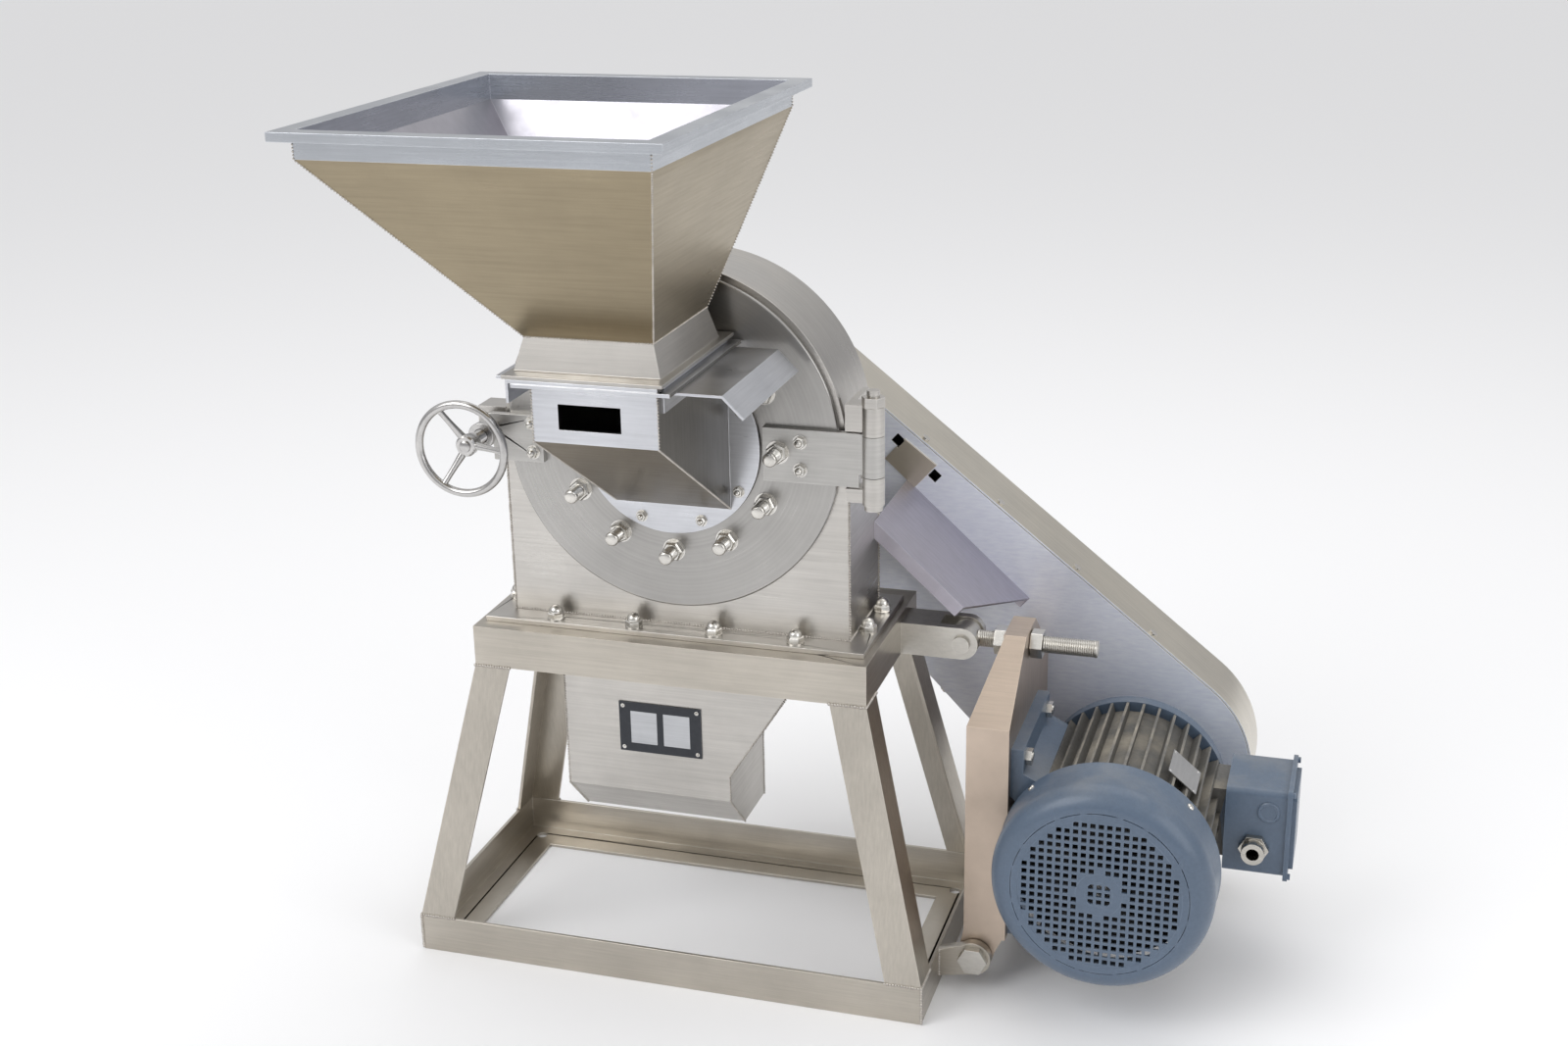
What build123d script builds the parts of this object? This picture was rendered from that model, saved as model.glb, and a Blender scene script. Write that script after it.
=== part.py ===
"""Hammer mill on an angle-iron stand, with a belt drive and a foot-mounted motor.

Frame: millimetres, +X to the right along the mill's front, +Y to the back, +Z up.
The origin is on the floor at the centre of the base frame's anchor holes.
"""
import os
from math import acos, atan2, cos, degrees, hypot, radians, sin

from build123d import *

os.makedirs("parts", exist_ok=True)

# ---------------------------------------------------------------- stand
base_half_x = 305.0
base_half_y = 160.0
angle_leg = 46.0
angle_wall = 4.0
anchor_inset = 26.0
anchor_hole_r = 6.5
top_half_x = 232.0
top_half_y = 117.0
stand_height = 407.0
fascia_height = 48.0
top_plate = 6.0
leg_width = 42.0

# ---------------------------------------------------------------- mill housing
axis_z = 630.0
box_half_x = 200.0
housing_front = -65.0
housing_depth = 126.0
housing_wall = 6.0
drum_r = 192.0
drum_wall = 8.0
door_hole_r = 178.0
flange_thick = 6.0
flange_out = 24.0
flange_front_out = 32.0
flange_bolt_r = 5.0
flange_bolt_pitch = 95.0
side_bolt_half = 32.0
hole_play = 0.5
washer_thick = 1.5
nut_height = 7.0
bolt_across = 17.0

# ---------------------------------------------------------------- rotor
shaft_r = 20.0
disc_r = 118.0
disc_thick = 6.0
disc_pitch = 38.0
spacer_r = 34.0
pin_circle_r = 98.0
hammer_pin_r = 8.0
hammer_width = 30.0
hammer_thick = 5.0
hammer_reach = 67.0
screen_r = 172.0
screen_thick = 2.5
bearing_r = 45.0
bearing_width = 23.0
bearing_house_r = 60.0
bearing_house_len = 114.0

# ---------------------------------------------------------------- drive
motor_x = 493.0
motor_z = 180.0
guard_front = 198.0
guard_depth = 90.0
guard_wall = 2.0
guard_small_r = 88.0
guard_large_r = 132.0
mill_pulley_r = 63.0
motor_pulley_r = 112.0
pulley_width = 60.0
pulley_front = 213.0
groove_pitch = 19.0
belt_width = 11.0
belt_depth = 9.0

# ---------------------------------------------------------------- motor
motor_body_r = 96.0
motor_fin_r = 108.0
motor_front = -60.0
motor_rear = 130.0
motor_nose = 188.0
cowl_r = 121.0
cowl_front = -138.0
cowl_wall = 3.0
cowl_round = 26.0
cowl_hole_pitch = 9.0
cowl_hole_r = 2.6
cowl_pattern_r = 86.0
cowl_ring_in = 14.0
cowl_ring_out = 27.0
shield_r = 107.4
foot_face_x = 379.0
foot_bolt_half = 101.0
foot_bolt_inset = 30.0
foot_thick = 14.0
motor_shaft_r = 14.0

# ---------------------------------------------------------------- swing plate and tensioner
pivot_x = 345.0
pivot_z = 40.0
pivot_pin_r = 10.0
lug_r = 20.0
lug_thick = 10.0
lug_back = base_half_y - 25.0
ear_thick = 11.0
ear_gap = 1.0
pivot_nut_half = 15.0
swing_thick = 8.0
swing_front = -62.0
swing_rear = 184.0
swing_flange = 48.0
tension_y = 61.0
tension_z = 379.0
tension_rod_r = 10.0
eye_x = 303.0
eye_r = 17.0
eye_width = 26.0
eye_pin_r = 6.0
bracket_half = 24.0
bracket_rise = 19.0
bracket_end = 276.0
cheek_thick = 10.0
rod_end = 456.0
nut_gap = 0.7
rod_nut_half = 15.0
rod_nut_height = 14.0
tension_lug_thick = 18.0

# ---------------------------------------------------------------- door, feed and hopper
door_thick = 7.0
stud_circle_r = 125.0
stud_r = 8.0
stud_reach = 32.0
stud_nut_r = 12.0
stud_nut_height = 9.0
flange_bolt_angles = (27, -32, -68, -112, -147, 153)
clamp_boss_r = 18.0
strap_thick = 8.0
hinge_x = 231.0
hinge_pin_r = 7.0
knuckle_r = 12.0
knuckle_low = 580.0
knuckle_door_low = 611.5
knuckle_door_high = 656.5
knuckle_high = 688.0
clamp_x = -208.0
clamp_z = 633.0
screw_r = 8.0
wheel_r = 50.0
wheel_tube_r = 4.5
chute_left = -64.0
chute_right = 69.0
chute_front = -287.0
chute_top = 751.0
chute_lip = 690.0
chute_foot = 557.0
chute_wall = 4.0
feed_flange_r = 104.0
feed_flange_thick = 5.0
gate_thick = 3.0
rail_height = 4.0
hopper_flange = 4.0
flange_left = -91.0
flange_right = 78.0
flange_front = -297.0
flange_rear = -77.0
rail_wide = 14.0
neck_top = 792.0
band_low = 985.0
rim_top = 1012.0
sheet = 3.0

# ---------------------------------------------------------------- clearances
run_fit = 0.05
loose = 0.3

# ---------------------------------------------------------------- derived places
housing_back = housing_front + housing_depth
flange_top = stand_height + flange_thick
door_front = housing_front - door_thick
strap_front = door_front - strap_thick
rotor_y = (housing_front + housing_back) / 2
bearing_end = housing_back + bearing_house_len
guard_back = guard_front + guard_depth
pulley_y = pulley_front + pulley_width / 2
plate_left = foot_face_x - swing_thick
flange_bolt_front = housing_front - 19.0
flange_bolt_back = housing_back + 14.0


def save(piece, name):
    """Label a finished piece and write it as its own STEP file."""
    piece.part.label = name
    export_step(piece.part, "parts/" + name + ".step")


def xz(y, x=0.0, z=0.0):
    """A plane facing -Y at depth y, with its local axes along +X and +Z."""
    return Plane(origin=(x, y, z), x_dir=(1, 0, 0), z_dir=(0, -1, 0))


def yz(x, y=0.0, z=0.0):
    """A plane facing +X at x, with its local axes along +Y and +Z."""
    return Plane(origin=(x, y, z), x_dir=(0, 1, 0), z_dir=(1, 0, 0))


def polar(radius, angle, x=0.0, z=0.0):
    """A point on a circle round (x, z), with the angle in degrees."""
    return (x + radius * cos(radians(angle)), z + radius * sin(radians(angle)))


# ================================================================ stand
with BuildPart() as base_frame:
    with BuildSketch(Plane.XY):
        Rectangle(2 * base_half_x, 2 * base_half_y)
        Rectangle(2 * (base_half_x - angle_leg), 2 * (base_half_y - angle_leg), mode=Mode.SUBTRACT)
    extrude(amount=angle_wall)
    with BuildSketch(Plane.XY.offset(angle_wall)):
        Rectangle(2 * base_half_x, 2 * base_half_y)
        Rectangle(2 * (base_half_x - angle_wall), 2 * (base_half_y - angle_wall), mode=Mode.SUBTRACT)
    extrude(amount=angle_leg - angle_wall)
    with BuildSketch(Plane.XY):
        with GridLocations(2 * (base_half_x - anchor_inset), 2 * (base_half_y - anchor_inset), 2, 2):
            Circle(anchor_hole_r)
    extrude(amount=angle_wall, mode=Mode.SUBTRACT)
    # pivot ears, welded to the right rail outside each of the swing plate's lugs
    for ear_y in (swing_front - ear_gap, base_half_y - 3.0):
        with BuildSketch(xz(ear_y)):
            with BuildLine():
                Polyline(
                    (base_half_x, 12.0),
                    (pivot_x, pivot_z - lug_r),
                    (pivot_x, pivot_z + lug_r),
                    (base_half_x, angle_leg),
                    close=True,
                )
            make_face()
            with Locations((pivot_x, pivot_z)):
                Circle(lug_r)
                Circle(pivot_pin_r + run_fit, mode=Mode.SUBTRACT)
        extrude(amount=ear_thick)
save(base_frame, "base_frame")

leg_low = angle_leg
leg_high = stand_height - fascia_height
for side_name, sx in (("left", -1), ("right", 1)):
    for end_name, sy in (("front", -1), ("back", 1)):
        with BuildPart() as leg:
            for level, half_x, half_y in (
                (leg_low, base_half_x, base_half_y),
                (leg_high, top_half_x, top_half_y),
            ):
                with BuildSketch(Plane.XY.offset(level)):
                    with BuildLine():
                        Polyline(
                            (sx * half_x, sy * half_y),
                            (sx * (half_x - leg_width), sy * half_y),
                            (sx * (half_x - leg_width), sy * (half_y - angle_wall)),
                            (sx * (half_x - angle_wall), sy * (half_y - angle_wall)),
                            (sx * (half_x - angle_wall), sy * (half_y - leg_width)),
                            (sx * half_x, sy * (half_y - leg_width)),
                            close=True,
                        )
                    make_face()
            loft(ruled=True)
        save(leg, "leg_" + end_name + "_" + side_name)

spout_wall = 3.0
spout_left = -142.0
spout_front = -72.0
spout_back = 54.0
spout_mouth_right = 58.0
spout_top_right = 168.0
spout_bend = 200.0
spout_mouth = 150.0
spout_top = stand_height - top_plate

with BuildPart() as top_frame:
    with BuildSketch(Plane.XY.offset(spout_top)):
        Rectangle(2 * top_half_x, 2 * top_half_y)
    extrude(amount=top_plate)
    with BuildSketch(Plane.XY.offset(leg_high)):
        Rectangle(2 * top_half_x, 2 * top_half_y)
        Rectangle(2 * (top_half_x - angle_wall), 2 * (top_half_y - angle_wall), mode=Mode.SUBTRACT)
    extrude(amount=fascia_height - top_plate)
    # the discharge opening under the grinding chamber
    with BuildSketch(Plane.XY.offset(spout_top)):
        with Locations(((spout_left + spout_top_right) / 2, (spout_front + spout_back) / 2)):
            Rectangle(
                spout_top_right - spout_left - 2 * spout_wall,
                spout_back - spout_front - 2 * spout_wall - 8.0,
            )
    extrude(amount=top_plate, mode=Mode.SUBTRACT)
    # holes for the housing's flange bolts
    with BuildSketch(Plane.XY.offset(spout_top)):
        for row_y in (flange_bolt_front, flange_bolt_back):
            with Locations((0, row_y)):
                with GridLocations(flange_bolt_pitch, 0, 4, 1):
                    Circle(flange_bolt_r + hole_play)
        with GridLocations(2 * (box_half_x + flange_out / 2), 2 * side_bolt_half, 2, 2):
            Circle(flange_bolt_r + hole_play)
    extrude(amount=top_plate, mode=Mode.SUBTRACT)
save(top_frame, "top_frame")

with BuildPart() as discharge_spout:
    # left wall upright, right wall slanted in to the mouth
    with BuildSketch(xz(spout_front)):
        with BuildLine():
            Polyline(
                (spout_left, spout_mouth),
                (spout_mouth_right, spout_mouth),
                (spout_mouth_right, spout_bend + 32.0),
                (spout_top_right, spout_top),
                (spout_left, spout_top),
                close=True,
            )
        make_face()
    extrude(amount=-(spout_back - spout_front))
    # the lower front turns back at 45 degrees
    with BuildSketch(yz(spout_left)):
        with BuildLine():
            Polyline(
                (spout_front, spout_mouth),
                (spout_front + spout_bend - spout_mouth, spout_mouth),
                (spout_front, spout_bend),
                close=True,
            )
        make_face()
    extrude(amount=spout_top_right - spout_left, mode=Mode.SUBTRACT)
    spout_ends = discharge_spout.faces().sort_by(Axis.Z)
    offset(amount=-spout_wall, openings=[spout_ends[0], spout_ends[-1]], kind=Kind.INTERSECTION)
save(discharge_spout, "discharge_spout")

with BuildPart() as spout_plate:
    with BuildSketch(xz(spout_front, -25.0, 282.0)):
        RectangleRounded(100.0, 62.0, 3.0)
    extrude(amount=1.5)
    with BuildSketch(xz(spout_front - 1.5, -25.0, 282.0)):
        with GridLocations(90.0, 52.0, 2, 2):
            Circle(2.5)
    extrude(amount=1.2)
save(spout_plate, "spout_plate")

# ================================================================ mill housing
with BuildPart() as mill_housing:
    with BuildSketch(xz(housing_front, 0, axis_z)):
        Circle(drum_r)
        with Locations((0, (flange_top - axis_z) / 2)):
            Rectangle(2 * box_half_x, axis_z - flange_top)
    extrude(amount=-housing_depth)
    # raised ring round the door's seat, standing on the drum's front edge
    with BuildSketch(xz(housing_front + 8.0, 0, axis_z)):
        Circle(drum_r + 6.0)
        with Locations((0, -drum_r)):
            Rectangle(3 * drum_r, 2 * drum_r, mode=Mode.SUBTRACT)
    extrude(amount=8.0)
    # chamber: a drum with a box below it, open at the bottom
    with BuildSketch(xz(housing_front + housing_wall, 0, axis_z)):
        Circle(drum_r - drum_wall)
        with Locations((0, (stand_height - axis_z) / 2)):
            Rectangle(2 * (box_half_x - housing_wall), axis_z - stand_height)
    extrude(amount=-(housing_depth - 2 * housing_wall), mode=Mode.SUBTRACT)
    # door hole in the front wall
    with BuildSketch(xz(housing_front, 0, axis_z)):
        Circle(door_hole_r)
    extrude(amount=-housing_wall, mode=Mode.SUBTRACT)
    # shaft hole in the back wall
    with BuildSketch(xz(housing_back - housing_wall, 0, axis_z)):
        Circle(shaft_r + 4.0)
    extrude(amount=-housing_wall, mode=Mode.SUBTRACT)
    # base flange
    with BuildSketch(Plane.XY.offset(stand_height)):
        with Locations((0, (housing_front - flange_front_out + housing_back + flange_out) / 2)):
            Rectangle(2 * (box_half_x + flange_out), housing_depth + flange_front_out + flange_out)
        with Locations((0, (housing_front + housing_back) / 2)):
            Rectangle(
                2 * (box_half_x - housing_wall), housing_depth - 2 * housing_wall, mode=Mode.SUBTRACT
            )
        for row_y in (flange_bolt_front, flange_bolt_back):
            with Locations((0, row_y)):
                with GridLocations(flange_bolt_pitch, 0, 4, 1):
                    Circle(flange_bolt_r + hole_play, mode=Mode.SUBTRACT)
        with GridLocations(2 * (box_half_x + flange_out / 2), 2 * side_bolt_half, 2, 2):
            Circle(flange_bolt_r + hole_play, mode=Mode.SUBTRACT)
    extrude(amount=flange_thick)
    # ledges that carry the ends of the screen
    screen_end_z = axis_z - (screen_r + screen_thick) * sin(radians(20))
    for side in (-1, 1):
        with BuildSketch(xz(housing_front + housing_wall, 0, screen_end_z - 5.0)):
            with Locations((side * (box_half_x - housing_wall - 7.0), 0)):
                Rectangle(14.0, 6.0)
        extrude(amount=-(housing_depth - 2 * housing_wall))
save(mill_housing, "mill_housing")

with BuildPart() as housing_bolts:
    bolt_places = []
    for row_y in (flange_bolt_front, flange_bolt_back):
        for column in range(4):
            bolt_places.append((flange_bolt_pitch * (column - 1.5), row_y))
    for side in (-1, 1):
        for row_y in (-side_bolt_half, side_bolt_half):
            bolt_places.append((side * (box_half_x + flange_out / 2), row_y))
    with BuildSketch(Plane.XY.offset(spout_top - 6.0)):
        with Locations(*bolt_places):
            RegularPolygon(bolt_across / 2, 6, major_radius=False)
    extrude(amount=6.0)
    with BuildSketch(Plane.XY.offset(spout_top)):
        with Locations(*bolt_places):
            Circle(flange_bolt_r)
    extrude(amount=top_plate + flange_thick)
    with BuildSketch(Plane.XY.offset(flange_top)):
        with Locations(*bolt_places):
            Circle(bolt_across / 2 + 1.5)
    extrude(amount=washer_thick)
    with BuildSketch(Plane.XY.offset(flange_top + washer_thick)):
        with Locations(*bolt_places):
            RegularPolygon(bolt_across / 2, 6, major_radius=False)
    extrude(amount=nut_height)
    for place in bolt_places:
        with Locations((place[0], place[1], flange_top + washer_thick + nut_height)):
            Sphere(bolt_across / 2 - 0.6, arc_size1=0, arc_size2=90)
save(housing_bolts, "housing_bolts")

with BuildPart() as screen:
    # perforated half ring below the rotor, with flat ends on the ledges
    with BuildSketch(xz(housing_front + housing_wall + loose, 0, axis_z)):
        Circle(screen_r + screen_thick)
        Circle(screen_r, mode=Mode.SUBTRACT)
        with Locations((0, drum_r - (screen_r + screen_thick) * sin(radians(20)))):
            Rectangle(3 * drum_r, 2 * drum_r, mode=Mode.SUBTRACT)
        for side in (-1, 1):
            with Locations((side * (box_half_x - housing_wall - loose - 16.0), screen_end_z - axis_z - 1.0)):
                Rectangle(32.0, 2.0)
    extrude(amount=-(housing_depth - 2 * housing_wall - 2 * loose))
    for row in range(13):
        row_angle = 210.0 + 10.0 * row
        hole_plane = Plane(
            origin=(0, rotor_y, axis_z),
            x_dir=(0, 1, 0),
            z_dir=(cos(radians(row_angle)), 0, sin(radians(row_angle))),
        )
        with BuildSketch(hole_plane.offset(screen_r - 5.0)):
            with GridLocations(14.0, 0, 7, 1):
                Circle(3.0)
        extrude(amount=15.0, mode=Mode.SUBTRACT)
save(screen, "screen")

with BuildPart() as breaker_liner:
    # ribbed wear liner against the top of the drum
    with BuildSketch(xz(housing_front + housing_wall + loose, 0, axis_z)):
        Circle(drum_r - drum_wall - loose)
        Circle(drum_r - drum_wall - 7.0, mode=Mode.SUBTRACT)
        with Locations((0, -drum_r + 50.0)):
            Rectangle(3 * drum_r, 2 * drum_r, mode=Mode.SUBTRACT)
        for notch in range(14):
            with Locations(polar(drum_r - drum_wall - 7.0, 25.0 + 10.0 * notch)):
                Circle(3.0, mode=Mode.SUBTRACT)
    extrude(amount=-(housing_depth - 2 * housing_wall - 2 * loose))
save(breaker_liner, "breaker_liner")

# ================================================================ bearing cartridge
bearing_front_y = housing_back + 8.0
bearing_rear_y = bearing_end - bearing_width - 4.0
with BuildPart() as bearing_housing:
    with BuildSketch(xz(housing_back, 0, axis_z)):
        Circle(bearing_house_r + 25.0)
    extrude(amount=-12.0)
    with BuildSketch(xz(housing_back, 0, axis_z)):
        Circle(bearing_house_r)
    extrude(amount=-bearing_house_len)
    with BuildSketch(xz(bearing_front_y, 0, axis_z)):
        Circle(bearing_r)
    extrude(amount=-(bearing_end - bearing_front_y), mode=Mode.SUBTRACT)
    with BuildSketch(xz(housing_back, 0, axis_z)):
        Circle(shaft_r + 3.0)
    extrude(amount=-10.0, mode=Mode.SUBTRACT)
    # flange screws and a grease nipple
    with BuildSketch(xz(housing_back + 12.0, 0, axis_z)):
        with PolarLocations(bearing_house_r + 14.0, 6):
            RegularPolygon(7.0, 6)
    extrude(amount=-6.0)
    with BuildSketch(Plane.XY.offset(axis_z + bearing_house_r - 2.0)):
        with Locations((0, housing_back + 60.0)):
            Circle(4.0)
    extrude(amount=12.0)
save(bearing_housing, "bearing_housing")

with BuildPart() as bearing_cap:
    with BuildSketch(xz(bearing_end, 0, axis_z)):
        Circle(bearing_house_r)
        Circle(shaft_r + 1.5, mode=Mode.SUBTRACT)
    extrude(amount=-7.0)
    with BuildSketch(xz(bearing_end + 7.0, 0, axis_z)):
        with PolarLocations(bearing_house_r - 8.0, 6):
            Circle(4.0)
    extrude(amount=-3.0)
save(bearing_cap, "bearing_cap")

with BuildPart() as bearings:
    for start in (bearing_front_y, bearing_rear_y):
        with BuildSketch(xz(start, 0, axis_z)):
            Circle(bearing_r - run_fit)
            Circle(shaft_r + run_fit, mode=Mode.SUBTRACT)
        extrude(amount=-bearing_width)
save(bearings, "bearings")

pedestal_front = housing_back + flange_out + 3.0
with BuildPart() as bearing_pedestal:
    with BuildSketch(xz(pedestal_front)):
        with BuildLine():
            Polyline(
                (-78.0, stand_height),
                (78.0, stand_height),
                (52.0, axis_z - 22.0),
                (-52.0, axis_z - 22.0),
                close=True,
            )
        make_face()
        with Locations((0, axis_z)):
            Circle(bearing_house_r + loose, mode=Mode.SUBTRACT)
    extrude(amount=-16.0)
    with BuildSketch(Plane.XY.offset(stand_height)):
        with Locations((0, top_half_y - 17.0)):
            Rectangle(176.0, 30.0)
    extrude(amount=8.0)
save(bearing_pedestal, "bearing_pedestal")

# ================================================================ rotor
shaft_nose = housing_front + 7.0
shaft_end = pulley_front + pulley_width + 4.0
with BuildPart() as mill_shaft:
    with BuildSketch(xz(shaft_nose, 0, axis_z)):
        Circle(shaft_r)
    extrude(amount=-(shaft_end - shaft_nose))
    # collar that the rear disc bears on
    with BuildSketch(xz(rotor_y + disc_pitch + disc_thick / 2, 0, axis_z)):
        Circle(shaft_r + 10.0)
    extrude(amount=-10.0)
    chamfer(mill_shaft.edges().filter_by(GeomType.CIRCLE).sort_by(Axis.Y)[-1], 2.0)
save(mill_shaft, "mill_shaft")

with BuildPart() as rotor_discs:
    for index in (-1, 0, 1):
        with BuildSketch(xz(rotor_y + index * disc_pitch - disc_thick / 2, 0, axis_z)):
            Circle(disc_r)
            Circle(shaft_r + run_fit, mode=Mode.SUBTRACT)
            with PolarLocations(pin_circle_r, 4):
                Circle(hammer_pin_r + run_fit, mode=Mode.SUBTRACT)
        extrude(amount=-disc_thick)
save(rotor_discs, "rotor_discs")

with BuildPart() as rotor_spacers:
    for index in (-1, 0):
        with BuildSketch(xz(rotor_y + index * disc_pitch + disc_thick / 2, 0, axis_z)):
            Circle(spacer_r)
            Circle(shaft_r + run_fit, mode=Mode.SUBTRACT)
        extrude(amount=-(disc_pitch - disc_thick))
save(rotor_spacers, "rotor_spacers")

rotor_nut_rear = rotor_y - disc_pitch - disc_thick / 2
with BuildPart() as rotor_nut:
    with BuildSketch(xz(shaft_nose + 1.0, 0, axis_z)):
        RegularPolygon(30.0, 6, major_radius=False)
        Circle(shaft_r + run_fit, mode=Mode.SUBTRACT)
    extrude(amount=-(rotor_nut_rear - shaft_nose - 1.0))
save(rotor_nut, "rotor_nut")

pin_front = rotor_y - disc_pitch - disc_thick / 2 - 4.0
pin_back = rotor_y + disc_pitch + disc_thick / 2
with BuildPart() as hammer_pins:
    with BuildSketch(xz(pin_front, 0, axis_z)):
        with PolarLocations(pin_circle_r, 4):
            Circle(hammer_pin_r)
    extrude(amount=-(pin_back - pin_front))
    for head_y in (pin_front - 4.0, pin_back):
        with BuildSketch(xz(head_y, 0, axis_z)):
            with PolarLocations(pin_circle_r, 4):
                Circle(hammer_pin_r + 3.0)
        extrude(amount=-4.0)
save(hammer_pins, "hammer_pins")

hammer_offsets = []
for bay in (-0.5, 0.5):
    for place in (-8.0, 8.0):
        hammer_offsets.append(bay * disc_pitch + place)
for gang in range(4):
    with BuildPart() as hammers:
        for offset_y in hammer_offsets:
            hammer_plane = Plane(
                origin=(0, rotor_y + offset_y - hammer_thick / 2, axis_z),
                x_dir=(cos(radians(90 * gang)), 0, sin(radians(90 * gang))),
                z_dir=(0, -1, 0),
            )
            with BuildSketch(hammer_plane):
                with Locations((pin_circle_r + (hammer_reach - 15.0) / 2, 0)):
                    Rectangle(hammer_reach + 15.0, hammer_width)
                with Locations((pin_circle_r, 0)):
                    Circle(hammer_pin_r + 0.1, mode=Mode.SUBTRACT)
            extrude(amount=-hammer_thick)
    save(hammers, "hammers_" + "abcd"[gang])

# ================================================================ pulleys and belts
belt_angle = atan2(motor_z - axis_z, motor_x)
centre_distance = hypot(motor_x, motor_z - axis_z)
groove_top = 17.0
groove_bottom = 11.6
groove_depth = 13.0


def pulley_profile(outer_r, bore_r, start_y):
    """Half section of a three-groove pulley, in radius and depth."""
    points = [(bore_r, start_y), (outer_r, start_y)]
    middle = start_y + pulley_width / 2
    for groove in (-1, 0, 1):
        centre = middle + groove * groove_pitch
        points.append((outer_r, centre - groove_top / 2))
        points.append((outer_r - groove_depth, centre - groove_bottom / 2))
        points.append((outer_r - groove_depth, centre + groove_bottom / 2))
        points.append((outer_r, centre + groove_top / 2))
    points.append((outer_r, start_y + pulley_width))
    points.append((bore_r, start_y + pulley_width))
    return points


with BuildPart() as mill_pulley:
    with BuildSketch(Plane(origin=(0, 0, axis_z), x_dir=(1, 0, 0), z_dir=(0, 0, 1))):
        with BuildLine():
            Polyline(*pulley_profile(mill_pulley_r, shaft_r + run_fit, pulley_front), close=True)
        make_face()
    revolve(axis=Axis((0, 0, axis_z), (0, 1, 0)))
save(mill_pulley, "mill_pulley")

motor_shaft_end = pulley_front + pulley_width + 4.0
with BuildPart() as motor_pulley:
    with BuildSketch(Plane(origin=(motor_x, 0, motor_z), x_dir=(1, 0, 0), z_dir=(0, 0, 1))):
        with BuildLine():
            Polyline(*pulley_profile(motor_pulley_r, motor_shaft_r + run_fit, pulley_front), close=True)
        make_face()
    revolve(axis=Axis((motor_x, 0, motor_z), (0, 1, 0)))
    # lightening holes in the web
    with BuildSketch(xz(pulley_front, motor_x, motor_z)):
        with PolarLocations(62.0, 5):
            Circle(20.0)
    extrude(amount=-pulley_width, mode=Mode.SUBTRACT)
save(motor_pulley, "motor_pulley")


def belt_outline(small_r, large_r):
    """Sketch of two circles round the pulley centres, joined by their outer tangents."""
    lean = acos((small_r - large_r) / centre_distance)
    corners = []
    for turn, radius, start in (
        (1, small_r, (0.0, axis_z)),
        (1, large_r, (motor_x, motor_z)),
        (-1, large_r, (motor_x, motor_z)),
        (-1, small_r, (0.0, axis_z)),
    ):
        angle = belt_angle + turn * lean
        corners.append((start[0] + radius * cos(angle), start[1] + radius * sin(angle)))
    with BuildSketch() as outline:
        with BuildLine():
            Polyline(*corners, close=True)
        make_face()
        with Locations((0, axis_z)):
            Circle(small_r)
        with Locations((motor_x, motor_z)):
            Circle(large_r)
    return outline.sketch


belt_small_r = mill_pulley_r - groove_depth + 3.0
belt_large_r = motor_pulley_r - groove_depth + 3.0
with BuildPart() as drive_belts:
    for groove in (-1, 0, 1):
        with BuildSketch(xz(pulley_y + groove * groove_pitch - belt_width / 2)):
            add(belt_outline(belt_small_r + belt_depth, belt_large_r + belt_depth))
            add(belt_outline(belt_small_r, belt_large_r), mode=Mode.SUBTRACT)
        extrude(amount=-belt_width)
save(drive_belts, "drive_belts")

# ================================================================ belt guard
# Places along the belt line are given as (along, across) from the mill's axis.


def on_belt(along, across):
    """A point in X and Z from its distances along and across the belt line."""
    return (
        along * cos(belt_angle) - across * sin(belt_angle),
        axis_z + along * sin(belt_angle) + across * cos(belt_angle),
    )


channel_top = 52.0
strap_along = 187.0
strap_width = 50.0
tray_gap = 0.3
with BuildPart() as guard_tray:
    with BuildSketch(xz(guard_front)):
        add(belt_outline(guard_small_r - guard_wall - tray_gap, guard_large_r - guard_wall - tray_gap))
        # round hole for the bearing cartridge, slot for the motor shaft's travel
        with Locations((0, axis_z)):
            Circle(36.0, mode=Mode.SUBTRACT)
        with Locations((motor_x, motor_z)):
            Circle(34.0, mode=Mode.SUBTRACT)
    extrude(amount=-guard_wall)
    # turned-in edge
    with BuildSketch(xz(guard_front + guard_wall)):
        add(belt_outline(guard_small_r - guard_wall - tray_gap, guard_large_r - guard_wall - tray_gap))
        add(
            belt_outline(
                guard_small_r - 2 * guard_wall - tray_gap, guard_large_r - 2 * guard_wall - tray_gap
            ),
            mode=Mode.SUBTRACT,
        )
    extrude(amount=-14.0)
    # cross strap that stiffens the face where its two lengths meet
    with BuildSketch(xz(guard_front - 3.0)):
        with BuildLine():
            Polyline(
                on_belt(strap_along, channel_top),
                on_belt(strap_along, 88.0),
                on_belt(strap_along + strap_width, 92.0),
                on_belt(strap_along + strap_width, channel_top),
                close=True,
            )
        make_face()
    extrude(amount=-3.0)
    # two square hand slots beside the strap
    with BuildSketch(xz(guard_front - 3.0)):
        for along in (strap_along - 10.0, strap_along + strap_width + 1.0):
            with BuildLine():
                Polyline(
                    on_belt(along, 74.0),
                    on_belt(along, 86.0),
                    on_belt(along + 12.0, 86.0),
                    on_belt(along + 12.0, 74.0),
                    close=True,
                )
            make_face()
    extrude(amount=-8.0, mode=Mode.SUBTRACT)
save(guard_tray, "guard_tray")

with BuildPart() as guard_cover:
    with BuildSketch(xz(guard_front + 1.0)):
        add(belt_outline(guard_small_r, guard_large_r))
    extrude(amount=-(guard_depth - 1.0))
    with BuildSketch(xz(guard_front + 1.0)):
        add(belt_outline(guard_small_r - guard_wall, guard_large_r - guard_wall))
    extrude(amount=-(guard_depth - 1.0 - guard_wall), mode=Mode.SUBTRACT)
save(guard_cover, "guard_cover")

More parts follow.
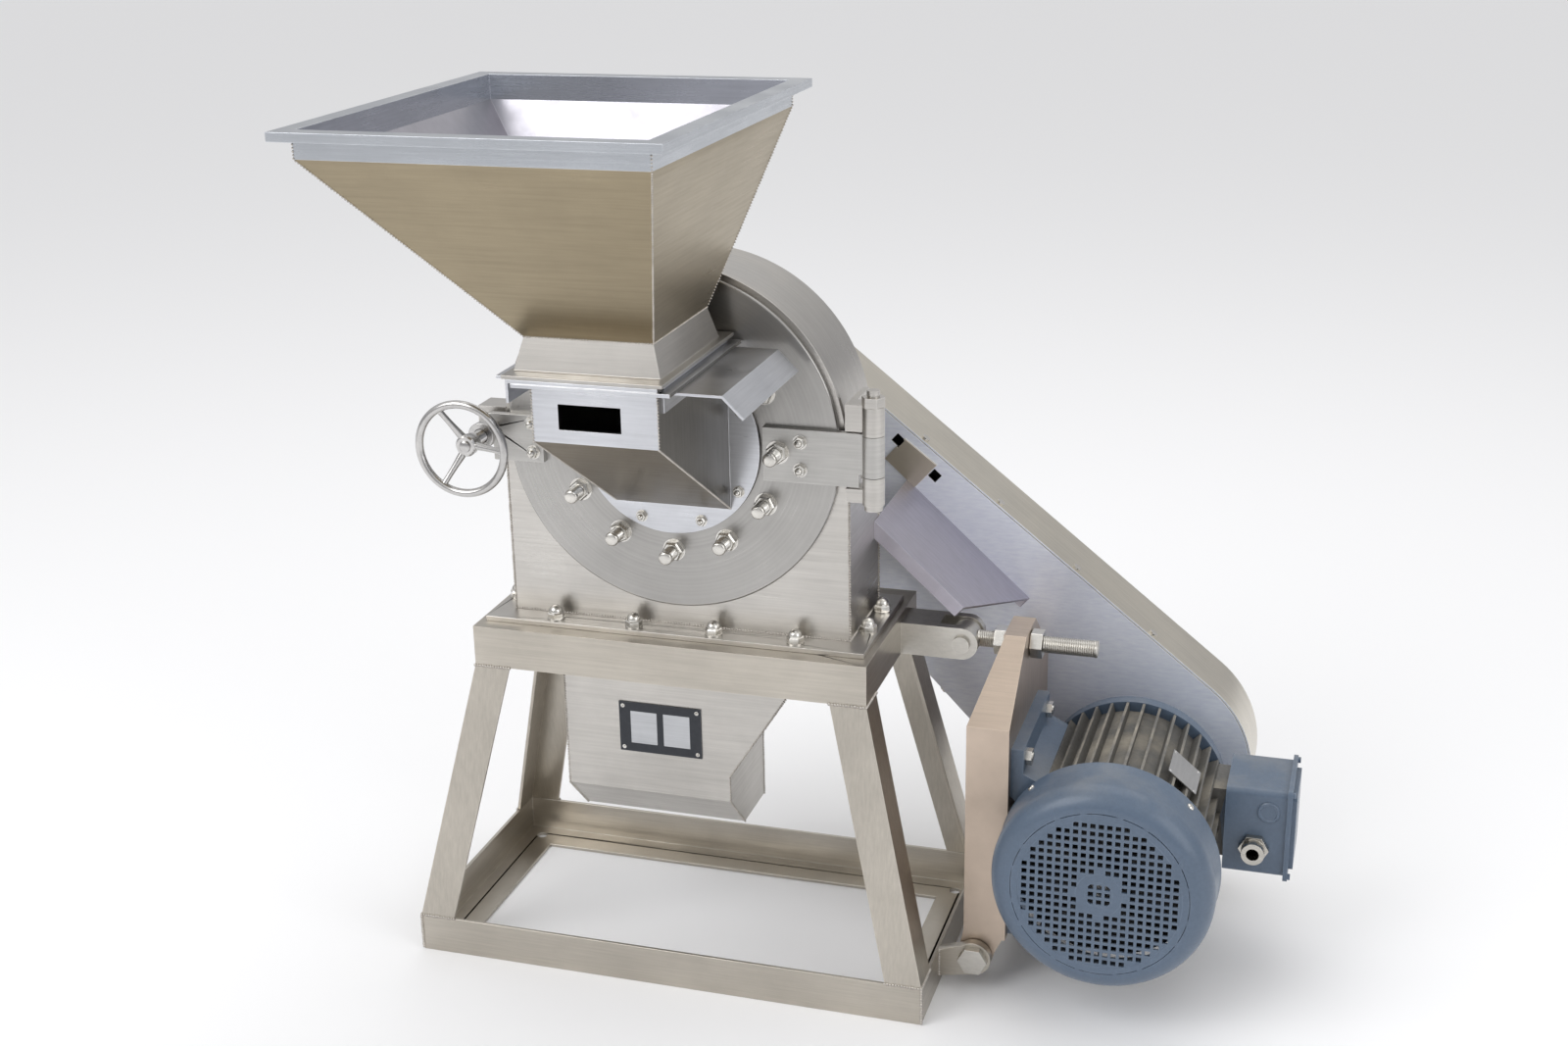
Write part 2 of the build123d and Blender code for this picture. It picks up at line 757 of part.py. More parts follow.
channel_depth = 16.0
belt_run = (cos(belt_angle), 0, sin(belt_angle))
belt_rise = (-sin(belt_angle), 0, cos(belt_angle))
channel_start = 224.0
channel_end = 430.0
channel_front = housing_back - 20.0
with BuildPart() as guard_channel:
    with BuildSketch(xz(channel_front)):
        with BuildLine():
            Polyline(
                on_belt(channel_start, channel_top),
                on_belt(channel_end, channel_top),
                on_belt(channel_end, channel_top - channel_depth),
                on_belt(channel_start, channel_top - channel_depth),
                close=True,
            )
        make_face()
    extrude(amount=-(guard_front - channel_front))
    with BuildSketch(xz(channel_front + 4.0)):
        with BuildLine():
            Polyline(
                on_belt(channel_start - 40.0, channel_top - 4.0),
                on_belt(channel_end + 40.0, channel_top - 4.0),
                on_belt(channel_end + 40.0, channel_top - 40.0),
                on_belt(channel_start - 40.0, channel_top - 40.0),
                close=True,
            )
        make_face()
    extrude(amount=-(guard_front - channel_front - 8.0), mode=Mode.SUBTRACT)
    # the upper end is cut flush with the housing's side
    with BuildSketch(xz(channel_front)):
        with Locations((box_half_x - 100.0, axis_z - 100.0)):
            Rectangle(200.0, 300.0)
    extrude(amount=-(guard_front - channel_front), mode=Mode.SUBTRACT)
    # the lower end is cut at a slant, clear of the tension rod
    with BuildSketch(Plane(origin=(0, 0, axis_z), x_dir=belt_run, z_dir=belt_rise)):
        with BuildLine():
            Polyline(
                (channel_end - 65.0, channel_front),
                (channel_end, guard_front),
                (channel_end + 30.0, guard_front),
                (channel_end + 30.0, channel_front),
                close=True,
            )
        make_face()
    extrude(amount=channel_top + 5.0, mode=Mode.SUBTRACT)
save(guard_channel, "guard_channel")

guard_lean = acos((guard_small_r - guard_large_r) / centre_distance)
with BuildPart() as guard_screws:
    for along in (60.0, 212.0, 330.0, 450.0, 570.0):
        for side in (-1, 1):
            # a point of the tangent wall, and the wall's outward direction
            out_angle = belt_angle + side * guard_lean
            wall_start = polar(guard_small_r, degrees(out_angle), 0, axis_z)
            wall_stop = polar(guard_large_r, degrees(out_angle), motor_x, motor_z)
            share = along / centre_distance
            spot_x = wall_start[0] + share * (wall_stop[0] - wall_start[0])
            spot_z = wall_start[1] + share * (wall_stop[1] - wall_start[1])
            with BuildSketch(
                Plane(
                    origin=(spot_x, guard_front + 9.0, spot_z),
                    z_dir=(cos(out_angle), 0, sin(out_angle)),
                )
            ):
                Circle(5.0)
            extrude(amount=3.0)
save(guard_screws, "guard_screws")

# ================================================================ motor
with BuildPart() as motor_frame:
    with BuildSketch(xz(motor_front, motor_x, motor_z)):
        Circle(motor_body_r)
    extrude(amount=-(motor_rear - motor_front))
    # straight cooling fins, none under the feet or the terminal box
    with BuildSketch(xz(motor_front + 2.0, motor_x, motor_z)):
        for fin in range(36):
            fin_angle = 10.0 * fin + 5.0
            if abs(fin_angle - 180.0) > 32.0:
                with Locations(Location(polar((motor_body_r + motor_fin_r) / 2 - 2.0, fin_angle), fin_angle)):
                    Rectangle(motor_fin_r - motor_body_r + 4.0, 3.0)
    extrude(amount=-(motor_rear - motor_front - 4.0))
    # feet on the swing plate
    for foot_z in (-1, 1):
        with BuildSketch(xz(motor_front + 12.0, motor_x, motor_z)):
            with BuildLine():
                Polyline(
                    (foot_face_x - motor_x, foot_z * 58.0),
                    (foot_face_x - motor_x, foot_z * 116.0),
                    (foot_face_x - motor_x + foot_thick, foot_z * 116.0),
                    (foot_face_x - motor_x + foot_thick, foot_z * 87.0),
                    (-66.0, foot_z * 70.0),
                    (-88.0, foot_z * 34.0),
                    close=True,
                )
            make_face()
        extrude(amount=-(motor_rear - motor_front - 24.0))
    for foot_z in (-1, 1):
        for foot_y in (motor_front + foot_bolt_inset, motor_rear - foot_bolt_inset):
            with BuildSketch(yz(foot_face_x, foot_y, motor_z + foot_z * foot_bolt_half)):
                Circle(6.5)
            extrude(amount=20.0, mode=Mode.SUBTRACT)
    # bore for the shaft
    with BuildSketch(xz(motor_front, motor_x, motor_z)):
        Circle(motor_shaft_r + 6.0)
    extrude(amount=-(motor_rear - motor_front), mode=Mode.SUBTRACT)
    # pad under the terminal box
    box_y = 96.0
    with BuildSketch(yz(motor_x + motor_body_r - 8.0, box_y, motor_z)):
        Rectangle(64.0, 84.0)
    extrude(amount=26.0)
save(motor_frame, "motor_frame")

with BuildPart() as motor_front_shield:
    with BuildSketch(xz(motor_front - 14.0, motor_x, motor_z)):
        Circle(shield_r)
        Circle(motor_shaft_r + run_fit, mode=Mode.SUBTRACT)
    extrude(amount=-14.0)
    with BuildSketch(xz(motor_front - 24.0, motor_x, motor_z)):
        Circle(38.0)
        Circle(motor_shaft_r + run_fit, mode=Mode.SUBTRACT)
    extrude(amount=-10.0)
save(motor_front_shield, "motor_front_shield")

with BuildPart() as motor_rear_shield:
    with BuildSketch(Plane(origin=(motor_x, 0, motor_z), x_dir=(1, 0, 0), z_dir=(0, 0, 1))):
        with BuildLine():
            Polyline(
                (motor_shaft_r + run_fit, motor_rear),
                (motor_fin_r, motor_rear),
                (motor_fin_r, motor_rear + 16.0),
                (74.0, motor_rear + 34.0),
                (52.0, motor_rear + 38.0),
                (46.0, motor_nose),
                (motor_shaft_r + run_fit, motor_nose),
                close=True,
            )
        make_face()
    revolve(axis=Axis((motor_x, 0, motor_z), (0, 1, 0)))
save(motor_rear_shield, "motor_rear_shield")

cowl_rear = motor_front - 4.0
with BuildPart() as fan_cowl:
    with BuildSketch(xz(cowl_front, motor_x, motor_z)):
        Circle(cowl_r)
    extrude(amount=-(cowl_rear - cowl_front))
    fillet(fan_cowl.edges().sort_by(Axis.Y)[0], cowl_round)
    offset(amount=-cowl_wall, openings=fan_cowl.faces().sort_by(Axis.Y)[-1])
    # air holes in the front face
    hole_spots = []
    for column in range(-10, 11):
        for row in range(-10, 11):
            spot = (cowl_hole_pitch * column, cowl_hole_pitch * row)
            spot_r = hypot(*spot)
            if spot_r < cowl_pattern_r and (spot_r > cowl_ring_out or spot_r < cowl_ring_in):
                hole_spots.append(spot)
    with BuildSketch(xz(cowl_front, motor_x, motor_z)):
        with Locations(*hole_spots):
            Circle(cowl_hole_r)
    extrude(amount=-cowl_wall, mode=Mode.SUBTRACT)
    # four lugs inside the rim seat the cowl on the front shield
    with BuildSketch(xz(cowl_rear - 8.0, motor_x, motor_z)):
        with PolarLocations((shield_r + loose + cowl_r - cowl_wall) / 2 + 0.5, 4, start_angle=45):
            Circle((cowl_r - cowl_wall - shield_r - loose) / 2 + 0.5)
    extrude(amount=-8.0)
save(fan_cowl, "fan_cowl")

with BuildPart() as motor_shaft:
    with BuildSketch(xz(motor_front - 56.0, motor_x, motor_z)):
        Circle(motor_shaft_r)
    extrude(amount=-(motor_shaft_end - motor_front + 56.0))
    chamfer(motor_shaft.edges().filter_by(GeomType.CIRCLE).sort_by(Axis.Y)[-1], 1.5)
save(motor_shaft, "motor_shaft")

with BuildPart() as cooling_fan:
    fan_front = motor_front - 56.0
    with BuildSketch(xz(fan_front, motor_x, motor_z)):
        Circle(26.0)
        Circle(motor_shaft_r + run_fit, mode=Mode.SUBTRACT)
    extrude(amount=-28.0)
    with BuildSketch(xz(fan_front + 22.0, motor_x, motor_z)):
        Circle(96.0)
        Circle(motor_shaft_r + run_fit, mode=Mode.SUBTRACT)
    extrude(amount=-4.0)
    with BuildSketch(xz(fan_front, motor_x, motor_z)):
        for blade in range(8):
            with Locations(Location(polar(58.0, 45.0 * blade), 45.0 * blade)):
                Rectangle(72.0, 3.0)
    extrude(amount=-24.0)
save(cooling_fan, "cooling_fan")

with BuildPart() as motor_foot_bolts:
    bolt_head_x = foot_face_x + foot_thick
    for foot_z in (-1, 1):
        for foot_y in (motor_front + foot_bolt_inset, motor_rear - foot_bolt_inset):
            foot_place = (foot_y, motor_z + foot_z * foot_bolt_half)
            with BuildSketch(yz(plate_left, *foot_place)):
                Circle(5.0)
            extrude(amount=bolt_head_x + 8.0 - plate_left)
            for start, thick in ((bolt_head_x, 7.0), (plate_left - 8.0, 8.0)):
                with BuildSketch(yz(start, *foot_place)):
                    RegularPolygon(bolt_across / 2, 6, major_radius=False)
                extrude(amount=thick)
save(motor_foot_bolts, "motor_foot_bolts")

box_x = motor_x + motor_body_r + 18.0
box_deep = 68.0
with BuildPart() as terminal_box:
    with BuildSketch(yz(box_x, box_y, motor_z)):
        RectangleRounded(96.0, 106.0, 8.0)
    extrude(amount=box_deep)
    with BuildSketch(yz(box_x + 4.0, box_y, motor_z)):
        RectangleRounded(88.0, 98.0, 6.0)
    extrude(amount=box_deep - 4.0, mode=Mode.SUBTRACT)
    # cable entry in the front wall
    with BuildSketch(xz(box_y - 48.0, box_x + box_deep / 2, motor_z - 18.0)):
        Circle(12.0)
    extrude(amount=-4.0, mode=Mode.SUBTRACT)
save(terminal_box, "terminal_box")

with BuildPart() as terminal_lid:
    with BuildSketch(yz(box_x + box_deep, box_y, motor_z)):
        RectangleRounded(104.0, 114.0, 6.0)
    extrude(amount=5.0)
    with BuildSketch(yz(box_x + box_deep + 5.0, box_y, motor_z)):
        RectangleRounded(84.0, 92.0, 6.0)
    extrude(amount=5.0)
    with BuildSketch(yz(box_x + box_deep + 5.0, box_y, motor_z)):
        with GridLocations(94.0, 102.0, 2, 2):
            Circle(3.5)
    extrude(amount=3.0)
save(terminal_lid, "terminal_lid")

gland_y = box_y - 48.0
with BuildPart() as cable_gland:
    gland_place = (box_x + box_deep / 2, motor_z - 18.0)
    with BuildSketch(xz(gland_y - 8.0, *gland_place)):
        RegularPolygon(15.0, 6, major_radius=False)
    extrude(amount=-8.0)
    with BuildSketch(xz(gland_y - 20.0, *gland_place)):
        Circle(13.0)
    extrude(amount=-12.0)
    with BuildSketch(xz(gland_y, *gland_place)):
        Circle(12.0 - run_fit)
    extrude(amount=-4.0)
    with BuildSketch(xz(gland_y - 20.0, *gland_place)):
        Circle(7.0)
    extrude(amount=-24.0, mode=Mode.SUBTRACT)
save(cable_gland, "cable_gland")

# ================================================================ swing plate and tensioner
swing_low = pivot_z + 22.0
swing_shoulder = 324.0
swing_top = tension_z + 19.0
top_half = 30.0
plate_outline = [
    (swing_front, swing_low),
    (swing_rear, swing_low),
    (swing_rear, swing_shoulder),
    (tension_y + top_half, swing_top),
    (tension_y - top_half, swing_top),
    (swing_front, swing_shoulder),
]
with BuildPart() as swing_plate:
    with BuildSketch(yz(foot_face_x - swing_flange)):
        with BuildLine():
            Polyline(*plate_outline, close=True)
        make_face()
    extrude(amount=swing_flange)
    with BuildSketch(yz(foot_face_x - swing_flange)):
        with BuildLine():
            Polyline(*plate_outline, close=True)
        make_face()
        offset(amount=-6.0, mode=Mode.REPLACE)
    extrude(amount=swing_flange - swing_thick, mode=Mode.SUBTRACT)
    # the folded edge narrows towards the top
    with BuildSketch(xz(swing_front)):
        with BuildLine():
            Polyline(
                (foot_face_x - swing_flange, swing_shoulder),
                (foot_face_x - swing_flange + 24.0, swing_top),
                (foot_face_x - swing_flange, swing_top),
                close=True,
            )
        make_face()
    extrude(amount=-(swing_rear - swing_front), mode=Mode.SUBTRACT)
    # thick lug for the tension rod
    with BuildSketch(yz(plate_left - tension_lug_thick, tension_y, tension_z - 1.0)):
        Rectangle(2 * top_half, 40.0)
    extrude(amount=tension_lug_thick)
    with BuildSketch(yz(plate_left - tension_lug_thick, tension_y, tension_z)):
        SlotOverall(2 * tension_rod_r + 10.0, 2 * tension_rod_r + 2.0, rotation=90)
    extrude(amount=tension_lug_thick + swing_thick, mode=Mode.SUBTRACT)
    # lower lugs
    for lug_y in (swing_front, lug_back):
        with BuildSketch(xz(lug_y)):
            with BuildLine():
                Polyline(
                    (pivot_x - lug_r, pivot_z),
                    (pivot_x + lug_r, pivot_z),
                    (foot_face_x, swing_low + 8.0),
                    (foot_face_x - swing_flange, swing_low + 8.0),
                    close=True,
                )
            make_face()
            with Locations((pivot_x, pivot_z)):
                Circle(lug_r)
        extrude(amount=-lug_thick)
        with BuildSketch(xz(lug_y)):
            with Locations((pivot_x, pivot_z)):
                Circle(pivot_pin_r + run_fit)
        extrude(amount=-lug_thick, mode=Mode.SUBTRACT)
    # holes for the motor's foot bolts
    for foot_z in (-1, 1):
        for foot_y in (motor_front + foot_bolt_inset, motor_rear - foot_bolt_inset):
            with BuildSketch(yz(plate_left, foot_y, motor_z + foot_z * foot_bolt_half)):
                Circle(5.5)
            extrude(amount=swing_thick, mode=Mode.SUBTRACT)
save(swing_plate, "swing_plate")

with BuildPart() as pivot_pin:
    pin_start = swing_front - ear_gap - ear_thick - 8.0
    pin_stop = base_half_y + 4.0
    with BuildSketch(xz(pin_start, pivot_x, pivot_z)):
        Circle(pivot_pin_r)
    extrude(amount=-(pin_stop - pin_start))
    with BuildSketch(xz(pin_start, pivot_x, pivot_z)):
        RegularPolygon(pivot_nut_half, 6, major_radius=False)
    extrude(amount=-8.0)
    with BuildSketch(xz(base_half_y - 3.0, pivot_x, pivot_z)):
        RegularPolygon(pivot_nut_half, 6, major_radius=False)
    extrude(amount=-9.0)
save(pivot_pin, "pivot_pin")

with BuildPart() as tension_bracket:
    # clevis on the stand's right side, with two cheeks round the rod's eye
    with BuildSketch(Plane.XY.offset(tension_z - bracket_rise)):
        with Locations(((top_half_x + bracket_end) / 2, tension_y)):
            Rectangle(bracket_end - top_half_x, 2 * bracket_half)
    extrude(amount=2 * bracket_rise)
    for cheek_y in (tension_y - bracket_half, tension_y + bracket_half - cheek_thick):
        with BuildSketch(xz(cheek_y)):
            with Locations(((bracket_end + eye_x) / 2, tension_z)):
                Rectangle(eye_x - bracket_end, 2 * bracket_rise)
            with Locations((eye_x, tension_z)):
                Circle(bracket_rise)
        extrude(amount=-cheek_thick)
    # headed pin through the cheeks
    with BuildSketch(xz(tension_y - bracket_half, eye_x, tension_z)):
        Circle(eye_pin_r)
    extrude(amount=-2 * bracket_half)
    for head_y in (tension_y - bracket_half - 5.0, tension_y + bracket_half):
        with BuildSketch(xz(head_y, eye_x, tension_z)):
            Circle(10.0)
        extrude(amount=-5.0)
save(tension_bracket, "tension_bracket")

with BuildPart() as tension_rod:
    with BuildSketch(xz(tension_y - eye_width / 2, eye_x, tension_z)):
        Circle(eye_r)
    extrude(amount=-eye_width)
    with BuildSketch(yz(eye_x + 12.0, tension_y, tension_z)):
        Circle(tension_rod_r)
    extrude(amount=rod_end - eye_x - 12.0)
    chamfer(tension_rod.edges().filter_by(GeomType.CIRCLE).sort_by(Axis.X)[-1], 1.5)
    with BuildSketch(xz(tension_y - eye_width / 2, eye_x, tension_z)):
        Circle(eye_pin_r + run_fit)
    extrude(amount=-eye_width, mode=Mode.SUBTRACT)
save(tension_rod, "tension_rod")

with BuildPart() as tension_nuts:
    for start in (plate_left - tension_lug_thick - nut_gap - rod_nut_height, foot_face_x + nut_gap):
        with BuildSketch(yz(start, tension_y, tension_z)):
            RegularPolygon(rod_nut_half, 6, major_radius=False)
            Circle(tension_rod_r + run_fit, mode=Mode.SUBTRACT)
        extrude(amount=rod_nut_height)
save(tension_nuts, "tension_nuts")

# ================================================================ door
hole_low = chute_foot + chute_wall
hole_high = axis_z + 60.0
inner_left = chute_left + chute_wall
inner_right = chute_right - chute_wall
with BuildPart() as door_disc:
    with BuildSketch(xz(door_front, 0, axis_z)):
        Circle(drum_r)
    extrude(amount=-door_thick)
    chamfer(door_disc.edges().sort_by(Axis.Y)[0], 1.5)
    with BuildSketch(xz(housing_front, 0, axis_z)):
        Circle(door_hole_r - 2.0)
    extrude(amount=-(housing_wall - 2.0))
    # inlet into the chamber
    with BuildSketch(xz(door_front, (inner_left + inner_right) / 2, (hole_low + hole_high) / 2)):
        Rectangle(inner_right - inner_left, hole_high - hole_low)
    extrude(amount=-(door_thick + housing_wall), mode=Mode.SUBTRACT)
save(door_disc, "door_disc")

stud_angles = (-150, -120, -90, -60, -30, 30, 150)
strap_low = 597.0
strap_high = 657.0
with BuildPart() as door_studs:
    for stud_angle in stud_angles + (0,):
        stud_place = polar(stud_circle_r, stud_angle, 0, axis_z)
        seat_y = strap_front if stud_angle == 0 else door_front
        with BuildSketch(xz(seat_y - stud_nut_height, *stud_place)):
            RegularPolygon(stud_nut_r, 6, major_radius=False)
        extrude(amount=-stud_nut_height)
        with BuildSketch(xz(seat_y - stud_reach, *stud_place)):
            Circle(stud_r)
        extrude(amount=-stud_reach)
        stud_tip = faces().sort_by(Axis.Y)[0]
        fillet(stud_tip.edges(), 3.0)
    # short bolts of the two straps
    for bolt_x, bolt_z in ((150.0, 643.0), (150.0, 612.0), (-160.0, 643.0), (-160.0, 609.0)):
        with BuildSketch(xz(strap_front - 7.0, bolt_x, bolt_z)):
            RegularPolygon(7.0, 6, major_radius=False)
        extrude(amount=-7.0)
    # bolts of the chute's mounting flange
    with BuildSketch(xz(door_front - feed_flange_thick - 5.0, 0, axis_z)):
        with Locations(*[polar(feed_flange_r - 11.0, angle) for angle in flange_bolt_angles]):
            RegularPolygon(6.0, 6, major_radius=False)
    extrude(amount=-5.0)
save(door_studs, "door_studs")

neck_edge = hinge_x - knuckle_r - 4.0
strap_start = feed_flange_r + 4.0
with BuildPart() as hinge_strap:
    with BuildSketch(xz(strap_front)):
        with Locations(((strap_start + neck_edge) / 2, (strap_low + strap_high) / 2)):
            Rectangle(neck_edge - strap_start, strap_high - strap_low)
        with Locations(((neck_edge + hinge_x) / 2, (knuckle_door_low + knuckle_door_high) / 2)):
            Rectangle(hinge_x - neck_edge, knuckle_door_high - knuckle_door_low)
    extrude(amount=-strap_thick)
    with BuildSketch(Plane.XY.offset(knuckle_door_low)):
        with Locations((hinge_x, strap_front)):
            Circle(knuckle_r)
    extrude(amount=knuckle_door_high - knuckle_door_low)
    with BuildSketch(Plane.XY.offset(knuckle_door_low)):
        with Locations((hinge_x, strap_front)):
            Circle(hinge_pin_r + run_fit)
    extrude(amount=knuckle_door_high - knuckle_door_low, mode=Mode.SUBTRACT)
save(hinge_strap, "hinge_strap")

with BuildPart() as hinge_brackets:
    for low, high, arm_low, arm_high in (
        (knuckle_low, knuckle_door_low - 0.5, knuckle_low, strap_low - 2.0),
        (knuckle_door_high + 0.5, knuckle_high, strap_high + 2.0, knuckle_high),
    ):
        with BuildSketch(Plane.XY.offset(arm_low)):
            with Locations(((box_half_x + hinge_x) / 2, (strap_front + housing_front) / 2 + 4.0)):
                Rectangle(hinge_x - box_half_x, housing_front - strap_front + 8.0)
            with Locations((box_half_x + 4.0, housing_front + 28.0)):
                Rectangle(8.0, 56.0)
        extrude(amount=arm_high - arm_low)
        with BuildSketch(Plane.XY.offset(low)):
            with Locations((hinge_x, strap_front)):
                Circle(knuckle_r)
        extrude(amount=high - low)
        with BuildSketch(Plane.XY.offset(low)):
            with Locations((hinge_x, strap_front)):
                Circle(hinge_pin_r + run_fit)
        extrude(amount=high - low, mode=Mode.SUBTRACT)
    # pin with a nut on top
    with BuildSketch(Plane.XY.offset(knuckle_low - 6.0)):
        with Locations((hinge_x, strap_front)):
            Circle(hinge_pin_r)
    extrude(amount=knuckle_high - knuckle_low + 24.0)
    with BuildSketch(Plane.XY.offset(knuckle_low - 6.0)):
        with Locations((hinge_x, strap_front)):
            Circle(hinge_pin_r + 3.0)
    extrude(amount=6.0)
    with BuildSketch(Plane.XY.offset(knuckle_high)):
        with Locations((hinge_x, strap_front)):
            RegularPolygon(11.0, 6, major_radius=False)
    extrude(amount=11.0)
save(hinge_brackets, "hinge_brackets")

with BuildPart() as clamp_strap:
    with BuildSketch(xz(strap_front)):
        with Locations(((clamp_x - 148.0) / 2, (strap_low + strap_high - 6.0) / 2)):
            Rectangle(-148.0 - clamp_x, strap_high - strap_low - 6.0)
        with Locations((clamp_x, clamp_z)):
            Circle(clamp_boss_r)
            Circle(screw_r + run_fit, mode=Mode.SUBTRACT)
    extrude(amount=-strap_thick)
save(clamp_strap, "clamp_strap")

block_front = housing_front + 3.0
clamp_travel = 20.0
with BuildPart() as clamp_block:
    # tapped block on a gusset, on the housing's left side
    with BuildSketch(xz(block_front, clamp_x - 3.0, clamp_z)):
        Rectangle(2 * (-clamp_x - box_half_x + 3.0), 40.0)
        with Locations((-11.0, 0)):
            Rectangle(22.0, 40.0)
    extrude(amount=-34.0)
    with BuildSketch(Plane.XY.offset(clamp_z - 26.0)):
        with BuildLine():
            Polyline(
                (-box_half_x, block_front),
                (-box_half_x - 34.0, block_front + 6.0),
                (-box_half_x - 34.0, block_front + 34.0),
                (-box_half_x, block_front + 70.0),
                close=True,
            )
        make_face()
    extrude(amount=8.0)
    with BuildSketch(xz(block_front, clamp_x, clamp_z)):
        Circle(screw_r + loose)
    extrude(amount=-(clamp_travel + 6.0), mode=Mode.SUBTRACT)
save(clamp_block, "clamp_block")

rim_plane = -160.0
hub_front = -151.0
with BuildPart() as handwheel:
    with BuildSketch(xz(hub_front, clamp_x, clamp_z)):
        Circle(12.0)
    extrude(amount=-18.0)
    with BuildSketch(xz(hub_front, clamp_x, clamp_z)):
        Circle(screw_r)
    extrude(amount=-(block_front - 0.5 - hub_front))
    rim_start = radians(60.0)
    with BuildSketch(
        Plane(
            origin=(clamp_x, 0, clamp_z),
            x_dir=(cos(rim_start), 0, sin(rim_start)),
            z_dir=(-sin(rim_start), 0, cos(rim_start)),
        )
    ):
        with Locations((wheel_r, rim_plane)):
            Circle(wheel_tube_r)
    revolve(axis=Axis((clamp_x, 0, clamp_z), (0, 1, 0)))
    for spoke_angle in (0.0, 120.0, 240.0):
        spoke_start = (
            clamp_x + 8.0 * cos(radians(spoke_angle)),
            hub_front + 7.0,
            clamp_z + 8.0 * sin(radians(spoke_angle)),
        )
        spoke_stop = (
            clamp_x + wheel_r * cos(radians(spoke_angle)),
            rim_plane,
            clamp_z + wheel_r * sin(radians(spoke_angle)),
        )
        run = Vector(*spoke_stop) - Vector(*spoke_start)
        with BuildSketch(Plane(origin=spoke_start, z_dir=run)):
            Circle(3.4)
        extrude(amount=run.length)
save(handwheel, "handwheel")

collar_front = strap_front - clamp_travel - 12.0
with BuildPart() as clamp_collar:
    with BuildSketch(xz(collar_front, clamp_x, clamp_z)):
        Circle(15.0)
        Circle(screw_r + run_fit, mode=Mode.SUBTRACT)
    extrude(amount=-8.0)
save(clamp_collar, "clamp_collar")

# ================================================================ feed chute
chute_middle = (chute_left + chute_right) / 2
chute_wide = chute_right - chute_left
window_low = 704.0
window_high = 730.0
with BuildPart() as feed_chute:
    with BuildSketch(yz(chute_left)):
        with BuildLine():
            Polyline(
                (chute_front, chute_lip),
                (chute_front, chute_top),
                (door_front, chute_top),
                (door_front, chute_foot),
                close=True,
            )
        make_face()
    extrude(amount=chute_wide)
    # round mounting flange on the door
    with BuildSketch(xz(door_front - feed_flange_thick, 0, axis_z)):
        Circle(feed_flange_r)
    extrude(amount=-feed_flange_thick)
    # top flange that the gate slides on
    with BuildSketch(Plane.XY.offset(chute_top - 4.0)):
        with Locations((chute_middle, (chute_front + door_front) / 2 - 8.0)):
            Rectangle(chute_wide + 34.0, door_front - chute_front + 6.0)
    extrude(amount=4.0)
    # rails on each side of the gate
    for rail_y in (flange_front + rail_wide / 2, flange_rear - rail_wide / 2):
        with BuildSketch(Plane.XY.offset(chute_top)):
            with Locations(((flange_left + flange_right) / 2, rail_y)):
                Rectangle(flange_right - flange_left - 10.0, rail_wide)
        extrude(amount=rail_height)
    # inside
    with BuildSketch(yz(inner_left)):
        with BuildLine():
            Polyline(
                (chute_front + chute_wall, chute_lip + chute_wall),
                (chute_front + chute_wall, chute_top + rail_height),
                (door_front - chute_wall - feed_flange_thick, chute_top + rail_height),
                (door_front - chute_wall - feed_flange_thick, hole_high),
                (door_front, hole_high),
                (door_front, hole_low),
                close=True,
            )
        make_face()
    extrude(amount=inner_right - inner_left, mode=Mode.SUBTRACT)
    # slot in the front wall
    with BuildSketch(xz(chute_front, -3.0, (window_low + window_high) / 2)):
        Rectangle(66.0, window_high - window_low)
    extrude(amount=-chute_wall, mode=Mode.SUBTRACT)
save(feed_chute, "feed_chute")

hood_right = 132.0
hood_top = chute_top - 4.0
hood_rear = -92.0
with BuildPart() as feed_hood:
    # folded sheet beside the chute: upstand, flat top and a sloping outer lip
    with BuildSketch(xz(chute_front + 10.0)):
        with BuildLine():
            Polyline(
                (chute_right, hood_top - 22.0),
                (chute_right, hood_top),
                (hood_right, hood_top),
                (hood_right + 22.0, hood_top - 22.0),
                (hood_right + 20.0, hood_top - 24.0),
                (hood_right - 1.0, hood_top - 3.0),
                (chute_right + 3.0, hood_top - 3.0),
                (chute_right + 3.0, hood_top - 22.0),
                close=True,
            )
        make_face()
    extrude(amount=-(hood_rear - chute_front - 10.0))
save(feed_hood, "feed_hood")

# ================================================================ gate and hopper
gate_bottom = chute_top + loose
gate_left = flange_left - 12.0
gate_front = flange_front + rail_wide + 0.5
gate_rear = flange_rear - rail_wide - 0.5
with BuildPart() as feed_gate:
    with BuildSketch(Plane.XY.offset(gate_bottom)):
        with Locations(((gate_left + flange_right - 3.0) / 2, (gate_front + gate_rear) / 2)):
            Rectangle(flange_right - 3.0 - gate_left, gate_rear - gate_front)
    extrude(amount=gate_thick)
    # bent-down pull with a finger hole
    with BuildSketch(yz(gate_left, (gate_front + gate_rear) / 2, gate_bottom - 14.0)):
        Rectangle(gate_rear - gate_front - 40.0, 34.0)
        with Locations((0, -4.0)):
            SlotOverall(60.0, 14.0, mode=Mode.SUBTRACT)
    extrude(amount=3.0)
save(feed_gate, "feed_gate")

flange_low = chute_top + rail_height
flange_high = flange_low + hopper_flange
neck_left = -77.0
neck_right = 60.0
neck_front = -268.0
neck_back = -108.0
flare = 9.0
rim_left = -243.0
rim_right = 139.0
rim_front = -434.0
rim_back = 21.0
rim_out = 17.0
lip_drop = 9.0


def box_sketch(left, right, front, back, inset=0.0):
    """A rectangle between four sides, drawn in by an inset."""
    with Locations(((left + right) / 2, (front + back) / 2)):
        Rectangle(right - left - 2 * inset, back - front - 2 * inset)


